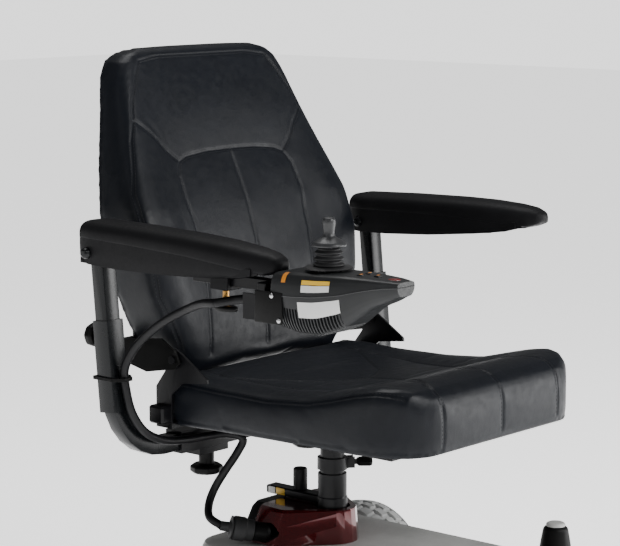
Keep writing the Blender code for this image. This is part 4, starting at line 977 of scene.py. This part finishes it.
def hull_shell(stations, upper):
    """Skin half of the hull; a station is (y, depth of a groove there)."""
    shares = np.linspace(0, 1, 25)
    rings = []
    for y, depth in stations:
        ring = []
        for side, order in ((1, shares), (-1, shares[-2::-1])):
            for share in order:
                inward = depth if curve_at(LOWER_CURVE, share)[1] > FIN_STARTS else 0.0
                ring.append(hull_place(y, side, share, upper, inward))
        rings.append(ring)
    return loft(rings)


def fin_stations():
    """Stations for the lower shell, with a groove between each two cooling fins."""
    made = [(y, 0.0) for y in np.linspace(HULL_TIP, FINS_FROM - 0.002, 18)]
    for y in np.arange(FINS_FROM, FINS_TO, FIN_PITCH):
        deep = FIN_DEPTH * min(1.0, (y - FINS_FROM + FIN_PITCH) / 0.020)
        made += [(y, 0.0), (y + 0.0018, 0.0), (y + 0.0021, deep), (y + 0.0049, deep)]
    return made + [(y, 0.0) for y in np.linspace(FINS_TO + 0.0035, HULL_REAR, 3)]


def decal(name, span, shares, material, upper, lift=0.0004):
    """A thin patch on the hull's right; span is in y, and shares run over the half outline."""
    solid = bmesh.new()
    grid = []
    for y in np.linspace(*span, 14):
        grid.append([solid.verts.new(hull_place(y, RIGHT, share, upper, -lift))
                     for share in np.linspace(*shares, 8)])
    for low, high in zip(grid, grid[1:]):
        for a, b, c, d in zip(low, low[1:], high[1:], high):
            solid.faces.new((a, b, c, d))
    add_piece(name, solid, material, "controller")


def cut_from(piece, *solids):
    """Cut openings through a shell."""
    for solid in solids:
        cutter = bpy.data.objects.new("opening", mesh_from(solid))
        bpy.context.scene.collection.objects.link(cutter)
        opening = piece.modifiers.new("opening", "BOOLEAN")
        opening.operation, opening.solver, opening.object = "DIFFERENCE", "EXACT", cutter
        bake(piece)
        bpy.data.objects.remove(cutter)


def wells():
    """Solids of the joystick's opening and of the wells that the buttons sink into."""
    made = [lathe([(0.0200, 0.690), (0.0200, 0.730)], at(CTRL_X, STICK_Y, 0), (0, 0, 1), 64)]
    clear = Vector((0.0005, 0.0005, 0.0040))
    for button in BUTTONS:
        low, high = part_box(button)
        made.append(box_solid(low - clear, high + clear))
    return made


def controller():
    """Boat-shaped shells with cooling fins, blank patches, keypad and lens, and the side plate."""
    lower = add_piece("controller_lower_shell", hull_shell(fin_stations(), False), "grey_plastic",
                      "controller", 30)
    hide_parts("controller_lower")
    upper = add_piece("controller_upper_shell",
                      hull_shell([(y, 0.0) for y in np.linspace(HULL_TIP, -0.1815, 60)], True),
                      "grey_plastic", "controller", 40)
    cut_from(upper, *wells())
    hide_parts("controller_upper")
    # Thin lips along the split line, in a plastic lighter than the shells: their lighter colour is a painted
    # highlight on the split line's edge.
    for side, name in SIDES.items():
        highlight_lip_path = [hull_place(y, side, 0.0, False, -0.0003) for y in np.linspace(-0.3840, -0.1700, 70)]
        add_piece(f"split_lip_{name}", tube(highlight_lip_path, 0.0007, 8), "stick_plastic",
                  "controller")
    decal("side_patch", (-0.3020, -0.2330), (0.11, 0.37), "label_white", False)
    decal("top_patch_orange", (-0.2860, -0.2390), (0.27, 0.39), "label_yellow", True)
    decal("top_patch_white", (-0.2860, -0.2390), (0.09, 0.25), "label_white", True)
    decal("corner_wedge", (-0.2100, -0.2020), (0.30, 0.66), "orange", True, 0.0009)
    lens = rounded_profile([(0.0090, 0), (0.0086, 0.0012), (0.0050, 0.0020), (0.0004, 0.0022)], 0.001)
    add_piece("tip_lens", lathe(lens, at(CTRL_X, -0.3650, 0.7112), (0, 0, 1), 40), "lens_red",
              "controller")
    for button in BUTTONS:
        refined(button, 0.0008, "grey_plastic")
        low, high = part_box(button)
        mark = box_solid((low.x + 0.0022, low.y + 0.0028, high.z - 0.0002),
                         (high.x - 0.0022, high.y - 0.0028, high.z + 0.0003), 0.0002, 2)
        add_piece(f"{button}_mark", mark, "orange", frame["nodes"][button]["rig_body"])
    refined("controller_mount", 0.0012, "black_steel")
    plate = box_solid(at(-0.3490, -0.2060, 0.6380), at(-0.3462, -0.1560, 0.6820), 0.0012)
    add_piece("side_plate", plate, "black_plastic", "controller")
    head = rounded_profile([(0.0034, 0), (0.0034, 0.0014), (0.0014, 0.0022), (0.0003, 0.0023)], 0.0006)
    screws = ((-0.1880, 0.6770), (-0.2010, 0.6440))
    heads = [lathe(head, at(-0.3490, y, z), (-1, 0, 0), 24) for y, z in screws]
    add_piece("plate_screws", merged(*heads), "zinc", "controller")


def clamp():
    """Brass stem and oval knob that clamp the slide bar."""
    place = at(CTRL_X, -0.062, 0)
    stem = rounded_profile([(0.0046, 0.6430), (0.0046, 0.6655), (0.0034, 0.6679)], 0.0006)
    add_piece("clamp_stem", lathe(stem, place, (0, 0, 1), 32), "brass", "clamp_knob")
    grip = rounded_profile([(0.0060, 0.6362), (0.0105, 0.6372), (0.0118, 0.6410), (0.0105, 0.6446),
                            (0.0060, 0.6454)], 0.0015)
    oval = lathe(grip, (0, 0, 0), (0, 0, 1), 64)
    bmesh.ops.transform(oval, matrix=Matrix.Translation(place) @ Matrix.Diagonal((0.95, 1.85, 1, 1)),
                        verts=oval.verts)
    knob = add_piece("clamp_grip", oval, "black_plastic", "clamp_knob")
    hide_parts("clamp_knob")


def joystick():
    """Knob with its domed skirt, and the bellows, made in two halves."""
    centre = at(CTRL_X, STICK_Y, GIMBAL_Z)
    outline = rounded_profile(
        [(0.0040, -0.0040), (0.0045, -0.0035), (0.0045, 0.0366), (0.0230, 0.0374), (0.0242, 0.0396),
         (0.0222, 0.0432), (0.0150, 0.0478), (0.0096, 0.0504), (0.0077, 0.0540), (0.0075, 0.0585),
         (0.0085, 0.0650), (0.0092, 0.0700), (0.0087, 0.0742), (0.0068, 0.0766), (0.0004, 0.0775)], 0.003)
    stick = add_piece("joystick_knob", lathe(outline, centre, (0, 0, 1), 72), "stick_plastic",
                      "stick")
    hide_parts("joystick")
    ribs, low, waist, high, wall = 3, 0.0112, 0.0230, 0.0355, 0.0016

    def bellows(start, end, thinner=0.0):
        made = []
        for height in np.linspace(start, end, 30):
            share = (height - low) / (high - low)
            radius = 0.0198 - 0.0032 * share + 0.0020 * math.sin(2 * math.pi * ribs * share)
            made.append((float(radius - thinner), float(height)))
        return made

    foot = [(0.0180, 0.0078), (0.0325, 0.0078), (0.0330, 0.0088), (0.0318, 0.0100), (0.0215, 0.0108)]
    lower = foot + bellows(low, waist) + bellows(low, waist, wall)[::-1]
    upper = bellows(waist, high) + bellows(waist, high, wall)[::-1]
    halves = (("bellows_foot", lower, "controller", "gimbal", low, waist),
              ("bellows_top", upper, "gimbal", "stick", waist, high))
    for name, profile, first, second, start, end in halves:
        half = add_piece(name, lathe(profile, centre, (0, 0, 1), 72, True), "gaiter", None, 60)
        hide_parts("joystick_gaiter")
        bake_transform(half)


# ---- joystick lead ------------------------------------------------------------------------------
LEAD_R = 0.0064
PLUG_AXIS = Vector((0.75, -0.60, -0.20)).normalized()
PLUG_CENTRE = Vector((-0.1225, 0.0800, 0.2585))
PLUG_BACK, LEAD_SHORT = 0.0190, 0.0120    # the plug's rear from its middle, and the lead's end from that
LEAD_ROUTE = [
    (-0.3050, -0.1476, 0.6620), (-0.3050, -0.1200, 0.6602), (-0.3125, -0.0920, 0.6570),
    (-0.3265, -0.0640, 0.6510), (-0.3170, -0.0250, 0.6440), (-0.3060, 0.0150, 0.6300),
    (-0.3040, 0.0550, 0.6110), (-0.3040, 0.0950, 0.5850), (-0.3060, 0.1250, 0.5560),
    (-0.3080, 0.1400, 0.5270), (-0.3060, 0.1390, 0.4950), (-0.2980, 0.1350, 0.4600),
    (-0.2760, 0.1310, 0.4290), (-0.2400, 0.1280, 0.4110), (-0.1950, 0.1270, 0.4040),
    (-0.1500, 0.1250, 0.4020), (-0.1180, 0.1120, 0.4020), (-0.1000, 0.0960, 0.3940),
    (-0.1050, 0.1030, 0.3720), (-0.1160, 0.1190, 0.3420), (-0.1240, 0.1335, 0.3140),
    (-0.1360, 0.1345, 0.2910), (-0.1500, 0.1200, 0.2755)]
STRETCHES = [  # first and last route point, the bodies it runs between
    ("lead_slide", 0, 3, "controller", "armrest_right"),
    ("lead_hinge", 3, 7, "armrest_right", "upright_right"),
    ("lead_sleeve", 7, 9, "upright_right", "hanger_right"), ("lead_bend", 9, 12, "hanger_right", None),
    ("lead_under", 12, 15, "hanger_right", "seat"), ("lead_clip", 15, 17, "seat", None),
    ("lead_turn", 17, 20, "seat", "post"), ("lead_down", 20, 23, "post", "base")]
LEAD_NODES = {"lead_slide": "lead_arm", "lead_bend": "lead_hanger", "lead_down": "lead_drop"}


def lead():
    """One lead, in stretches that each run across a single joint, with its boot and its tie."""
    entry = PLUG_CENTRE - (PLUG_BACK + LEAD_SHORT) * PLUG_AXIS
    route = [at(*point) for point in [*LEAD_ROUTE, entry]]
    fine = smooth_through(route, 0.0025)
    marks = [min(range(len(fine)), key=lambda k: (fine[k] - point).length) for point in route]
    for name, first, last, body, other in STRETCHES:
        stretch = fine[marks[first]:marks[last] + 1]
        piece = add_piece(name, tube(stretch, LEAD_R, 20), "cable", None if other else body)
        if name in LEAD_NODES:
            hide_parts(LEAD_NODES[name])
        if other:
            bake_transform(piece)
    boot = [(0.0092, 0), (0.0092, 0.0040)]
    boot += [(0.0090 - 0.0022 * k / 5 - (0.0008 if k % 2 else 0), 0.0060 + 0.0034 * k) for k in range(6)]
    add_piece("lead_boot", lathe(boot, route[0], route[1] - route[0], 32), "rubber", "controller")
    tie_z, wrap = 0.5130, 0.0012
    loop = [(-0.3285, 0.1850), (-0.3285, 0.1480), (-0.3160, 0.1325), (-0.3010, 0.1325), (-0.2890, 0.1480),
            (-0.2890, 0.1850), (-0.3285, 0.1850)]
    ties = [mesh_path(loop, tie_z + lift, wrap) for lift in (-0.0016, 0.0, 0.0016)]
    add_piece("lead_tie", merged(*ties), "black_plastic", "hanger_right")


def mesh_path(outline, z, radius):
    return tube([at(p.x, p.y, z) for p in dense(outline, 0.002)], radius, 8)


def plug():
    """Ribbed plug."""
    refined("cable_plug", 0.0010, "rubber")
    start = at(*PLUG_CENTRE) - PLUG_BACK * PLUG_AXIS
    low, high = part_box("cable_plug")
    radius = 0.5 * (high.z - low.z) * 0.90
    rib = rounded_profile([(radius * 0.80, 0), (radius, 0.0005), (radius, 0.0019), (radius * 0.80, 0.0024)],
                          0.0005)
    ribs = [lathe(rib, start + PLUG_AXIS * (0.0020 + 0.0045 * k), PLUG_AXIS, 40) for k in range(5)]
    add_piece("plug_ribs", merged(*ribs), "rubber", "base")


camera()
studio()
drive_wheels()
casters()
chassis()
post()
seat_hardware()
seat_upholstery()
back_upholstery()
arm_pads()
controller()
clamp()
joystick()
dress("cast", "joystick_gimbal")
lead()
plug()
